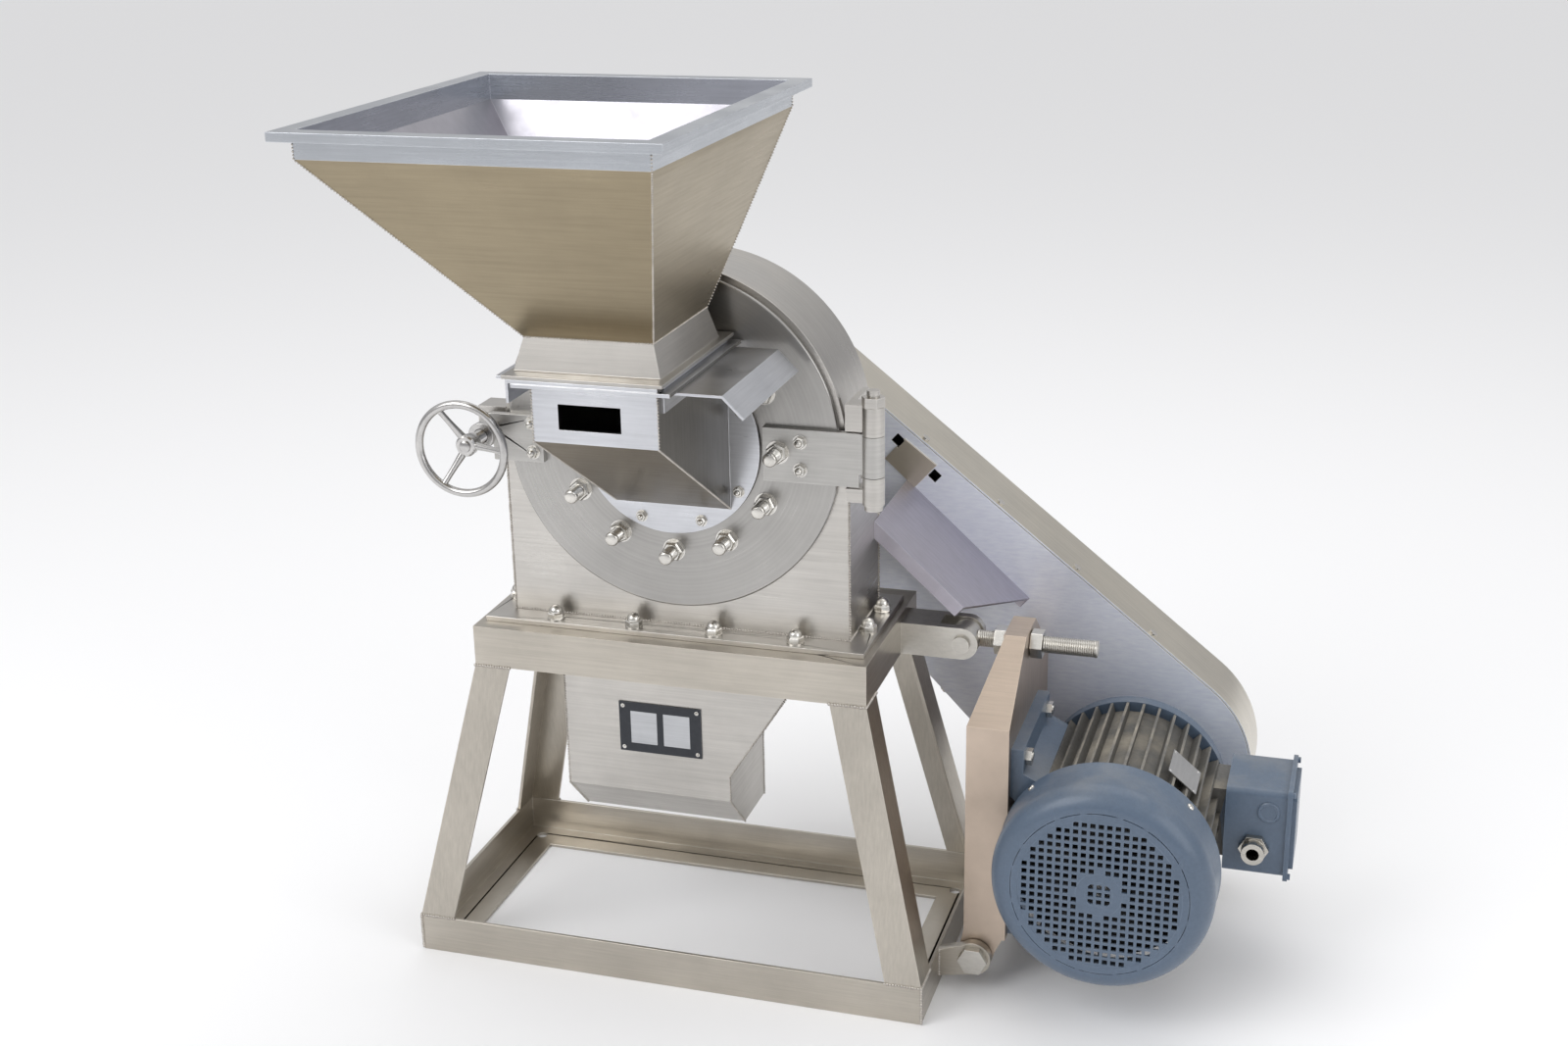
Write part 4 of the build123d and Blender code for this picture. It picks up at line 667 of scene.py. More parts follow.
def seam_tree():
    """A rippled weld bead along each edge path."""
    if "seam" in TREES:
        return TREES["seam"]
    tree, source, sink = node_tree(
        "Weld seam",
        (("Pitch", "NodeSocketFloat"), ("Radius", "NodeSocketFloat"), ("Finish", "NodeSocketMaterial")),
    )
    path = tree.nodes.new("GeometryNodeMeshToCurve")
    wire(tree, source.outputs["Geometry"], path.inputs["Mesh"])
    even = tree.nodes.new("GeometryNodeResampleCurve")
    even.mode = "LENGTH"
    wire(tree, path.outputs[0], even.inputs["Curve"])
    wire(tree, source.outputs["Pitch"], even.inputs["Length"])
    ripple = tree.nodes.new("GeometryNodeMeshUVSphere")
    ripple.inputs["Segments"].default_value = 8
    ripple.inputs["Rings"].default_value = 4
    wire(tree, source.outputs["Radius"], ripple.inputs["Radius"])
    copies = tree.nodes.new("GeometryNodeInstanceOnPoints")
    wire(tree, even.outputs[0], copies.inputs["Points"])
    wire(tree, ripple.outputs["Mesh"], copies.inputs["Instance"])
    size = tree.nodes.new("FunctionNodeRandomValue")
    size.data_type = "FLOAT"
    size.inputs[2].default_value = 0.82
    size.inputs[3].default_value = 1.08
    size.inputs["Seed"].default_value = 3
    wire(tree, size.outputs[1], copies.inputs["Scale"])
    wire(tree, painted(tree, source, copies.outputs[0]), sink.inputs[0])
    TREES["seam"] = tree
    return tree


def grown(name, body, slot, points, edges, tree, replaced=(), degrees=35.0, **values):
    """Run a geometry node tree on points or paths and keep the result as a plain mesh."""
    mesh = bpy.data.meshes.new(name)
    mesh.from_pydata([tuple(point) for point in points], edges, [])
    piece = bpy.data.objects.new(name, mesh)
    bpy.context.scene.collection.objects.link(piece)
    modifier = piece.modifiers.new("Detail", "NODES")
    modifier.node_group = tree
    for item in tree.interface.items_tree:
        label = item.name.replace(" ", "_").lower()
        if item.in_out == "INPUT" and label in values:
            modifier[item.identifier] = values[label]
    evaluated = piece.evaluated_get(bpy.context.evaluated_depsgraph_get())
    plain = bpy.data.meshes.new_from_object(evaluated)
    if not plain.polygons:
        raise RuntimeError(name + " came out empty")
    piece.modifiers.clear()
    piece.data = plain
    smooth(plain, degrees)
    return settle(piece, body, replaced)


def nuts(name, body, points, facing, hexagon, height, washer, washer_height, dome, replaced=()):
    """Domed nuts of bright steel that face one way."""
    turn = {"-Y": (math.pi / 2, 0, 0), "Y": (-math.pi / 2, 0, 0), "Z": (0, 0, 0), "-Z": (math.pi, 0, 0),
            "X": (0, math.pi / 2, 0), "-X": (0, -math.pi / 2, 0)}[facing]
    return grown(name, body, "fastener_steel", points, [], nut_tree(), replaced, washer_radius=washer,
                 washer_height=washer_height, hexagon_radius=hexagon, hexagon_height=height,
                 dome_radius=dome, turn=Euler(turn), spin=1.0, finish=bright_steel())


def seams(name, body, slot, paths, sizes, radius):
    """Weld beads along several paths."""
    points = []
    edges = []
    for path in paths:
        start = len(points)
        points += path
        edges += [(start + index, start + index + 1) for index in range(len(path) - 1)]
    return grown(name, body, slot, points, edges, seam_tree(), degrees=60.0, pitch=sizes.weld_pitch,
                 radius=radius, finish=weld_metal())


def polar(radius, degrees, x=0.0, z=AXIS_Z):
    """X and Z on a circle."""
    return x + radius * math.cos(math.radians(degrees)), z + radius * math.sin(math.radians(degrees))


# ---------------------------------------------------------------- operators
class MILL_OT_stand(bpy.types.Operator):
    """Finish the stand and weld its corners"""

    bl_idname = "mill.stand"
    bl_label = "Stand"

    def execute(self, context):
        sizes = context.scene.mill_sizes
        colour = context.scene.mill_colours.steel
        upright = finish("Stand brushed upright", colour, (0.26, 0.42), stretch=(420, 420, 12))
        level = finish("Stand brushed level", colour, (0.26, 0.42), stretch=(12, 12, 420))
        finished("base_frame", "stand", [level], sizes.edge)
        finished("top_frame", "stand", [level], sizes.edge)
        for end in ("front", "back"):
            for side in ("left", "right"):
                finished("leg_" + end + "_" + side, "stand", [upright], sizes.edge)
        paths = []
        flange = 0.042
        foot_height = 0.046
        lug_sides = (-0.063, -0.074, 0.157, 0.146)
        for sx in (-1, 1):
            for sy in (-1, 1):
                for half_x, half_y, height in (
                    (TOP_HIGH.x, TOP_HIGH.y, TOP_LOW.z),
                    (-STAND_LOW.x, STAND_HIGH.y, foot_height),
                ):
                    corner = Vector((sx * half_x, sy * half_y, height))
                    along_x = corner - Vector((sx * flange, 0, 0))
                    along_y = corner - Vector((0, sy * flange, 0))
                    paths.append([along_x, corner, along_y])
                base_corner = Vector((sx * -STAND_LOW.x, sy * STAND_HIGH.y, 0.003))
                paths.append([base_corner, base_corner + Vector((0, 0, 0.043))])
        for y in lug_sides:
            paths.append([Vector((-STAND_LOW.x + 0.0005, y, z)) for z in (0.014, 0.044)])
        seams("stand_welds", "stand", "frame_steel", paths, sizes, 0.0021)
        return {"FINISHED"}


class MILL_OT_spout(bpy.types.Operator):
    """Finish the discharge spout and its blank plate"""

    bl_idname = "mill.spout"
    bl_label = "Discharge spout"

    def execute(self, context):
        sizes = context.scene.mill_sizes
        colour = context.scene.mill_colours.housing
        sheet = finish("Spout brushed", colour, (0.28, 0.42), stretch=(10, 10, 380))
        finished("discharge_spout", "stand", [sheet], 0.0005)
        low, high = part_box("discharge_spout")
        bend = 0.200
        front = low.y
        turned = low.y + bend - low.z
        mouth_right = 0.058
        shoulder = 0.232
        paths = [
            [Vector((low.x, front, high.z)), Vector((low.x, front, bend)), Vector((low.x, turned, low.z))],
            [
                Vector((high.x, front, high.z)),
                Vector((mouth_right, front, shoulder)),
                Vector((mouth_right, front, bend)),
                Vector((mouth_right, turned, low.z)),
            ],
            [
                Vector((high.x, high.y, high.z)),
                Vector((mouth_right, high.y, shoulder)),
                Vector((mouth_right, high.y, low.z)),
            ],
            [Vector((low.x, high.y, high.z)), Vector((low.x, high.y, low.z))],
        ]
        seams("spout_welds", "stand", "spout_steel", paths, sizes, 0.0014)
        dark = finish("Plate dark", (0.035, 0.038, 0.045), (0.35, 0.5), 0.4, (200, 200, 200), 0.04)
        pale = finish("Plate pale panels", (0.52, 0.53, 0.55), (0.3, 0.45), 0.7, (12, 12, 500), 0.05)
        plate_low, plate_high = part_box("spout_plate")
        centre = (plate_low + plate_high) / 2

        panel_in, panel_out, panel_half = 0.004, 0.036, 0.020

        def panel(place, normal):
            """Pale where the plate's two blank panels are."""
            within_x = panel_in < abs(place.x - centre.x) < panel_out
            within_z = abs(place.z - centre.z) < panel_half
            return 1 if normal.y < -0.5 and within_x and within_z else 0

        form = bmesh.new()
        panel_edges = [centre.x + edge for edge in (-panel_out, -panel_in, panel_in, panel_out)]
        columns = [plate_low.x] + panel_edges + [plate_high.x]
        rows = [plate_low.z, centre.z - panel_half, centre.z + panel_half, plate_high.z]
        front_y = plate_low.y + 0.0012
        back_y = front + 0.00005
        grid = [[form.verts.new((x, front_y, z)) for z in rows] for x in columns]
        for first, second in zip(grid, grid[1:]):
            for row in range(len(rows) - 1):
                form.faces.new((first[row], second[row], second[row + 1], first[row + 1]))
        border = bmesh.ops.extrude_face_region(form, geom=form.faces[:])
        moved = [part for part in border["geom"] if isinstance(part, bmesh.types.BMVert)]
        for vert in moved:
            vert.co.y = back_y
        bmesh.ops.recalc_face_normals(form, faces=form.faces)
        mesh = mesh_of("spout_plate_blank", form)
        plate = new_piece("spout_plate_blank", mesh, [dark, pale])
        for polygon in mesh.polygons:
            polygon.material_index = panel(polygon.center, polygon.normal)
        settle(plate, "stand", ("spout_plate",))
        rivets = [
            (centre.x + sx * 0.045, front_y, centre.z + sz * 0.026) for sx in (-1, 1) for sz in (-1, 1)
        ]
        nuts("spout_plate_rivets", "stand", rivets, "-Y", 0.0012, 0.0002, 0.0024, 0.0005, 0.0014)
        return {"FINISHED"}


class MILL_OT_housing(bpy.types.Operator):
    """Finish the mill's housing, its hinge, clamp block, pedestal and flange nuts"""

    bl_idname = "mill.housing"
    bl_label = "Mill housing"

    def execute(self, context):
        sizes = context.scene.mill_sizes
        colour = context.scene.mill_colours.housing
        sheet = finish("Housing brushed", colour, (0.24, 0.40), stretch=(10, 10, 380))
        rolled = finish("Drum rolled", colour, (0.22, 0.36), stretch=(14, 340, 14))

        def side(place, normal):
            """The rolled drum is brushed round its rim, the box along its length."""
            return 1 if abs(normal.y) < 0.3 and place.z > AXIS_Z + 0.01 else 0

        finished("mill_housing", "stand", [sheet, rolled], sizes.edge, side)
        for node in ("hinge_brackets", "clamp_block", "bearing_pedestal"):
            finished(node, "stand", [sheet], sizes.edge * 0.75)
        places = []
        for y in (-0.084, 0.075):
            places += [(x, y, FLANGE_TOP) for x in (-0.1425, -0.0475, 0.0475, 0.1425)]
        places += [(x, y, FLANGE_TOP) for x in (-0.212, 0.212) for y in (-0.032, 0.032)]
        nuts("flange_nuts", "stand", places, "Z", 0.0098, 0.007, 0.0100, 0.0015, 0.0079, ("housing_bolts",))
        under = [(x, y, FLANGE_TOP - 0.012) for x, y, z in places]
        nuts("flange_bolt_heads", "stand", under, "-Z", 0.0098, 0.0058, 0.0090, 0.0002, 0.0050)
        cast = finish("Bearing casting", (0.20, 0.21, 0.22), (0.45, 0.6), 0.25, (180, 180, 180), 0.35)
        finished("bearing_housing", "stand", [cast], sizes.edge)
        finished("bearing_cap", "stand", [cast], sizes.edge * 0.5)
        corners = (
            (-HOUSING_HALF, HOUSING_FRONT),
            (HOUSING_HALF, HOUSING_FRONT),
            (HOUSING_HALF, HOUSING_BACK),
            (-HOUSING_HALF, HOUSING_BACK),
            (-HOUSING_HALF, HOUSING_FRONT),
        )
        paths = [[Vector((x, y, FLANGE_TOP)) for x, y in corners]]
        top = AXIS_Z - 0.004
        for x in (-HOUSING_HALF, HOUSING_HALF):
            paths.append([
                Vector((x, HOUSING_FRONT, FLANGE_TOP)),
                Vector((x, HOUSING_FRONT, top)),
                Vector((x * 0.965, HOUSING_FRONT, AXIS_Z)),
            ])
            paths.append([Vector((x, HOUSING_BACK, z)) for z in (FLANGE_TOP, top)])
        seams("housing_welds", "stand", "housing_steel", paths, sizes, 0.0017)
        carried("bearings", finish("Bearing race", (0.62, 0.62, 0.62), (0.12, 0.2), radial=(0.0, AXIS_Z)))
        hard = finish("Hardened plate", (0.42, 0.41, 0.40), (0.35, 0.55), stretch=(60, 260, 60))
        carried("screen", hard)
        carried("breaker_liner", hard)
        return {"FINISHED"}


class MILL_OT_rotor(bpy.types.Operator):
    """Finish the rotor, its hammers and both pulleys"""

    bl_idname = "mill.rotor"
    bl_label = "Rotor"

    def execute(self, context):
        turned = finish("Turned steel", (0.58, 0.57, 0.56), (0.2, 0.34), radial=(0.0, AXIS_Z))
        ground = finish("Ground hammers", (0.48, 0.47, 0.46), (0.3, 0.5), stretch=(40, 240, 40))
        for node in ("mill_shaft", "rotor_discs", "rotor_spacers", "rotor_nut", "hammer_pins"):
            carried(node, turned)
        for gang in "abcd":
            carried("hammers_" + gang, ground)
        iron = finish("Pulley iron", (0.24, 0.24, 0.25), (0.4, 0.55), 0.6, radial=(0.0, AXIS_Z), bump=0.2)
        carried("mill_pulley", iron)
        carried(
            "motor_pulley",
            finish("Motor pulley iron", (0.24, 0.24, 0.25), (0.4, 0.55), 0.6,
                   radial=(MOTOR_AXIS.x, MOTOR_AXIS.z), bump=0.2),
        )
        return {"FINISHED"}


class MILL_OT_belts(bpy.types.Operator):
    """Three V-belts that run between the stand's pulley and the motor's pulley"""

    bl_idname = "mill.belts"
    bl_label = "Drive belts"

    def execute(self, context):
        rubber = finish("Belt rubber", (0.022, 0.022, 0.023), (0.55, 0.75), 0.0, (120, 900, 120), 0.3,
                        wear_and_highlight=0.1, dust=0.3)
        low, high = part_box("drive_belts")
        middle_y = (low.y + high.y) / 2
        line = Vector((MOTOR_AXIS.x, 0, MOTOR_AXIS.z - AXIS_Z))
        heading = math.atan2(line.z, line.x)
        small, large, depth = 0.053, 0.102, 0.009
        lean = math.acos((small - large) / line.length)
        mill_centre = Vector((0, 0, AXIS_Z))
        motor_centre = Vector((MOTOR_AXIS.x, 0, MOTOR_AXIS.z))
        arc_steps, run_steps, groove_pitch = 24, 16, 0.019

        def between(share, angle):
            """A stop on a straight run, at a share of the way from the mill to the motor."""
            return mill_centre.lerp(motor_centre, share), small + (large - small) * share, angle

        stops = []
        for index in range(arc_steps + 1):
            angle = heading + lean + (math.tau - 2 * lean) * index / arc_steps
            stops.append((mill_centre, small, angle))
        stops += [between(index / run_steps, heading - lean) for index in range(1, run_steps)]
        for index in range(arc_steps + 1):
            angle = heading - lean + 2 * lean * index / arc_steps
            stops.append((motor_centre, large, angle))
        stops += [between(1.0 - index / run_steps, heading + lean) for index in range(1, run_steps)]
        section = ((0.0, -0.0040), (depth - 0.0012, -0.0054), (depth, -0.0046), (depth, 0.0046),
                   (depth - 0.0012, 0.0054), (0.0, 0.0040))
        belts = []
        for groove in (-1, 0, 1):
            rings = []
            for centre, radius, angle in stops:
                out = Vector((math.cos(angle), 0, math.sin(angle)))
                shift = Vector((0, middle_y + groove * groove_pitch, 0))
                ring = []
                for rise, across in section:
                    ring.append(centre + shift + out * (radius + rise) + Vector((0, across, 0)))
                rings.append(ring)
            belts.append(ring_mesh("belt", rings, closed=True))
        piece = new_piece("drive_belts_rubber", joined("drive_belts_rubber", belts), [rubber])
        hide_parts("drive_belts")
        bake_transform(piece)
        return {"FINISHED"}


class MILL_OT_guard(bpy.types.Operator):
    """Finish the belt guard, its channel and its screws"""

    bl_idname = "mill.guard"
    bl_label = "Belt guard"

    def execute(self, context):
        sizes = context.scene.mill_sizes
        cool = context.scene.mill_colours.guard
        front = finish("Guard front", cool, (0.36, 0.50), 0.45, stretch=(60, 60, 320), cloud=3.5)
        rim = finish("Guard rim", (0.66, 0.62, 0.54), (0.24, 0.36), stretch=(14, 420, 14), cloud=3.5)
        beige = finish("Guard strap", (0.60, 0.54, 0.44), (0.3, 0.45), stretch=(16, 16, 16))

        def face(place, normal):
            """Cool front, warm rim, plain back."""
            if place.y > 0.28:
                return 3
            if abs(normal.y) > 0.6:
                return 2 if place.y < 0.1965 else 0
            return 1

        back = finish("Guard back", (0.56, 0.53, 0.48), (0.28, 0.42), stretch=(60, 60, 320))
        finished("guard_tray", "stand", [front, rim, beige, back], 0.0005, face)
        finished("guard_cover", "stand", [front, rim, beige, back], 0.0012, face)
        violet = finish("Guard channel", (0.46, 0.44, 0.50), (0.34, 0.5), stretch=(30, 300, 30))
        finished("guard_channel", "stand", [violet], sizes.edge)
        bright = bright_steel()
        finished("guard_screws", "stand", [bright], 0.0005)
        return {"FINISHED"}


class MILL_OT_motor(bpy.types.Operator):
    """Paint the motor, make its perforated cowl and add its screws and blank plate"""

    bl_idname = "mill.motor"
    bl_label = "Motor"

    def plate(self):
        """A blank riveted plate on the fins."""
        half_wide, half_long, thick, rivet_inset = 0.020, 0.027, 0.001, 0.003
        angle = math.radians(50)
        out = Vector((math.cos(angle), 0, math.sin(angle)))
        along = Vector((-math.sin(angle), 0, math.cos(angle)))
        middle = Vector((MOTOR_AXIS.x, 0.012, MOTOR_AXIS.z)) + out * 0.1084

        def spot(a, b, inset, lift):
            """A point over the plate, towards one of its corners."""
            reach = along * ((half_wide - inset) * a) + Vector((0, (half_long - inset) * b, 0))
            return middle + reach + out * lift

        form = bmesh.new()
        lower, upper = (
            [form.verts.new(spot(a, b, 0.0, lift)) for a, b in SQUARE] for lift in (0.0, thick)
        )
        form.faces.new(lower[::-1])
        form.faces.new(upper)
        bridge(form, lower, upper)
        bmesh.ops.recalc_face_normals(form, faces=form.faces)
        parts = [mesh_of("sheet", form)]
        profile = [(0.0, 0.0), (0.0019, 0.0), (0.0016, 0.0008), (0.0008, 0.0012), (0.0, 0.0013)]
        for a in (-1, 1):
            for b in (-1, 1):
                parts.append(lathe("rivet", axis_frame(spot(a, b, rivet_inset, thick), out), profile, 14))
        blank = finish("Plate aluminium", (0.50, 0.50, 0.50), (0.3, 0.4), stretch=(300, 20, 300), dust=0.2)
        settle(new_piece("motor_plate", joined("motor_plate", parts), [blank]), "motor")

    def knock_out(self, paint):
        """The spare round knock-out of the terminal box."""
        low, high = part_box("terminal_box")
        place = axis_frame((0.655, low.y, high.z - 0.026), (0, -1, 0))
        profile = [(0.0, 0.0), (0.0125, 0.0), (0.0125, 0.0010), (0.0115, 0.0018), (0.0095, 0.0018),
                   (0.0090, 0.0008), (0.0, 0.0008)]
        plug = joined("knock_out", [lathe("knock_out", place, profile, 40)])
        settle(new_piece("knock_out", plug, [paint]), "motor")

    def cowl_shell(self, place, depth):
        """The cowl's rolled shoulder and skirt with a bead at its rear, and the rings of its face."""
        wall, shoulder, bead, groove = 0.003, 0.026, 0.0008, 0.0990
        flat = COWL_RADIUS - shoulder
        outside = [(0.0900, 0.0020), (0.0965, 0.0020), (0.0965, 0.0004), (0.0985, 0.0006)]
        inside = [(0.0900, wall)]
        for step in range(13):
            angle = math.radians(7.5 * step)
            reach, rise = math.sin(angle), 1.0 - math.cos(angle)
            if flat + shoulder * reach > groove:
                outside.append((flat + shoulder * reach, shoulder * rise))
            inside.append((flat + (shoulder - wall) * reach, wall + (shoulder - wall) * rise))
        outside += [
            (COWL_RADIUS, depth - 0.006),
            (COWL_RADIUS + bead, depth - 0.004),
            (COWL_RADIUS + bead, depth - 0.001),
            (COWL_RADIUS, depth),
        ]
        inside.append((COWL_RADIUS - wall, depth))
        parts = [lathe("cowl", place, outside + inside[::-1], 96, closed=True)]
        for name, near, far, front, steps in (
            ("ring", 0.0885, 0.0955, 0.0, 96),
            ("hub", 0.0150, 0.0250, 0.0001, 48),
        ):
            profile = [(near, front), (far, front), (far, 0.0022), (near, 0.0022)]
            parts.append(lathe(name, place, profile, steps, closed=True))
        return parts

    def cowl_grille(self, place):
        """The cowl's flat face as square cells, with a square air hole in each but the plain ring's."""
        pitch, half, face, thick = 0.009, 0.0029, 0.0004, 0.0026
        form = bmesh.new()
        for column in range(-10, 11):
            for row in range(-10, 11):
                spot = math.hypot(column, row) * pitch
                if spot > 0.0935:
                    continue
                hole = spot < 0.086 and (spot > 0.027 or spot < 0.014)
                gaps = []
                for level in (face, face + thick):
                    centre = Vector((column * pitch, row * pitch, level))
                    corners = [Vector((a, b, 0)) for a, b in SQUARE]
                    rim = [form.verts.new(place @ (centre + corner * pitch / 2)) for corner in corners]
                    if not hole:
                        form.faces.new(rim)
                        continue
                    gap = [form.verts.new(place @ (centre + corner * half)) for corner in corners]
                    bridge(form, rim, gap)
                    gaps.append(gap)
                if hole:
                    bridge(form, *gaps)
        bmesh.ops.remove_doubles(form, verts=form.verts, dist=0.00001)
        back = place.inverted()
        rim = []
        for side in form.edges:
            if len(side.link_faces) == 1 and all((back @ vert.co).z < 0.001 for vert in side.verts):
                rim.append(side)
        walls = bmesh.ops.extrude_edge_only(form, edges=rim)
        for part in walls["geom"]:
            if isinstance(part, bmesh.types.BMVert):
                part.co = part.co + Vector((0, thick, 0))
        bmesh.ops.remove_doubles(form, verts=form.verts, dist=0.00001)
        bmesh.ops.recalc_face_normals(form, faces=form.faces)
        return mesh_of("grille", form)

    def cowl(self, paint):
        """A spun cowl with a rolled shoulder, a grooved face, square air holes and four screws."""
        low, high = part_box("fan_cowl")
        place = axis_frame((MOTOR_AXIS.x, low.y, MOTOR_AXIS.z), (0, 1, 0))
        parts = self.cowl_shell(place, high.y - low.y) + [self.cowl_grille(place)]
        piece = new_piece("fan_cowl_painted", joined("fan_cowl_painted", parts), [paint])
        settle(piece, "motor", ("fan_cowl",))
        screws = []
        profile = [(0.0, 0.0), (0.0042, 0.0), (0.0042, 0.0012), (0.0030, 0.0026), (0.0012, 0.0030),
                   (0.0, 0.0030)]
        for degrees in (45, 135, 225, 315):
            x, z = polar(COWL_RADIUS - 0.0002, degrees, MOTOR_AXIS.x, MOTOR_AXIS.z)
            spot = axis_frame((x, high.y - 0.012, z), (x - MOTOR_AXIS.x, 0, z - MOTOR_AXIS.z))
            screws.append(lathe("screw", spot, profile, 20))
        heads = new_piece("cowl_screws", joined("cowl_screws", screws), [bright_steel()])
        settle(heads, "motor")

    def execute(self, context):
        sizes = context.scene.mill_sizes
        colour = context.scene.mill_colours.motor
        fine = (260, 260, 260)
        paint = finish("Motor paint", colour, (0.34, 0.46), 0.0, fine, 0.1, contrast=0.14, dust=0.2,
                       smear=0.1, coat=0.25)
        dusty = finish("Motor fins", (0.13, 0.125, 0.115), (0.42, 0.6), 0.1, fine, 0.2, contrast=0.25,
                       wear_and_highlight=0.4, dust=0.7, smear=0.25)

        def face(place, normal):
            """Dusty fins, clean feet and terminal pad."""
            out = math.hypot(place.x - MOTOR_AXIS.x, place.z - MOTOR_AXIS.z)
            return 1 if place.x < 0.415 or place.x > 0.604 or out < 0.09 else 0

        finished("motor_frame", "motor", [dusty, paint], sizes.edge, face)
        for node in ("motor_front_shield", "motor_rear_shield"):
            carried(node, paint)
        self.cowl(paint)
        for node in ("terminal_box", "terminal_lid"):
            finished(node, "motor", [paint], 0.0012)
        nickel = finish("Gland nickel", (0.50, 0.48, 0.44), (0.2, 0.35))
        finished("cable_gland", "motor", [nickel], 0.0005)
        bright = bright_steel()
        finished("motor_foot_bolts", "motor", [bright], 0.0006)
        self.plate()
        self.knock_out(paint)
        centre = (MOTOR_AXIS.x, MOTOR_AXIS.z)
        carried("motor_shaft", finish("Motor shaft", (0.5, 0.5, 0.5), (0.2, 0.32), radial=centre))
        plastic = finish("Fan plastic", (0.03, 0.03, 0.033), (0.45, 0.6), 0.0, (90, 90, 90), 0.1)
        carried("cooling_fan", plastic)
        return {"FINISHED"}


class MILL_OT_tensioner(bpy.types.Operator):
    """Finish the swing plate and its pivot, and cut the tension rod's thread"""

    bl_idname = "mill.tensioner"
    bl_label = "Swing plate and tension rod"

    def execute(self, context):
        sizes = context.scene.mill_sizes
        colour = context.scene.mill_colours.swing
        warm = finish("Swing plate sheet", colour, (0.32, 0.46), stretch=(12, 340, 12))
        satin = finish("Tension fittings", (0.56, 0.54, 0.50), (0.26, 0.42), stretch=(90, 90, 240))
        bright = bright_steel()
        finished("swing_plate", "motor", [warm], sizes.edge)
        finished("pivot_pin", "stand", [satin], sizes.edge)
        finished("tension_bracket", "stand", [satin], sizes.edge)
        finished("tension_nuts", "tension_nuts", [bright], sizes.edge)
        low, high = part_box("tension_rod")
        middle = (low + high) / 2
        eye_x, eye_radius, bore, chamfer = 0.303, 0.017, 0.00605, 0.0015
        place = axis_frame((eye_x, low.y, middle.z), (0, 1, 0))
        wide = high.y - low.y
        shoulder = eye_radius - chamfer
        eye_profile = [
            (bore, 0),
            (shoulder, 0),
            (eye_radius, chamfer),
            (eye_radius, wide - chamfer),
            (shoulder, wide),
            (bore, wide),
        ]
        eye = lathe("eye", place, eye_profile, closed=True)
        start, tip = eye_x + shoulder, 0.002
        place = axis_frame((start, middle.y, middle.z), (1, 0, 0))
        screw = thread("screw", place, high.x - start - tip, 0.010, sizes, 28, tip)
        piece = new_piece("tension_rod_threaded", joined("tension_rod_threaded", [eye, screw]), [satin])
        settle(piece, "tension_rod", ("tension_rod",))
        return {"FINISHED"}


class MILL_OT_door(bpy.types.Operator):
    """Finish the door and its straps, and make its threaded studs and nuts"""

    bl_idname = "mill.door"
    bl_label = "Door"

    def execute(self, context):
        sizes = context.scene.mill_sizes
        colour = context.scene.mill_colours.door
        turned = finish("Door turned", colour, (0.22, 0.38), contrast=0.2,
                        radial=(0.0, AXIS_Z), turned=240.0)
        strap = finish("Strap brushed", (0.50, 0.49, 0.47), (0.3, 0.45), stretch=(14, 14, 380))
        bright = bright_steel()
        finished("door_disc", "door", [turned], sizes.edge)
        finished("hinge_strap", "door", [strap], sizes.edge)
        finished("clamp_strap", "door", [strap], sizes.edge)
        studs = []
        seats = []
        for angle in (-150, -120, -90, -60, -30, 30, 150, 0):
            x, z = polar(0.125, angle)
            # the stud at 3 o'clock goes through the hinge strap
            seat = STRAP_FACE if angle == 0 else DOOR_FACE
            seats.append((x, seat, z))
            place = axis_frame((x, seat, z), (0, -1, 0))
            studs.append(thread("stud", place, 0.029, 0.008, sizes, 18, 0.003))
        piece = new_piece("door_studs_threaded", joined("door_studs_threaded", studs), [bright])
        settle(piece, "door", ("door_studs",))
        nuts("door_nuts", "door", seats, "-Y", 0.0119, 0.0085, 0.0130, 0.0008, 0.0081)
        spots = ((0.150, 0.643), (0.150, 0.612), (-0.160, 0.643), (-0.160, 0.609))
        small = [(x, STRAP_FACE, z) for x, z in spots]
        nuts("strap_bolts", "door", small, "-Y", 0.0069, 0.0055, 0.0080, 0.0008, 0.0045)
        ring = []
        for angle in (27, -32, -68, -112, -147, 153):
            x, z = polar(0.093, angle)
            ring.append((x, DOOR_FACE - 0.005, z))
        nuts("chute_flange_bolts", "door", ring, "-Y", 0.0059, 0.0045, 0.0068, 0.0006, 0.0036)
        return {"FINISHED"}


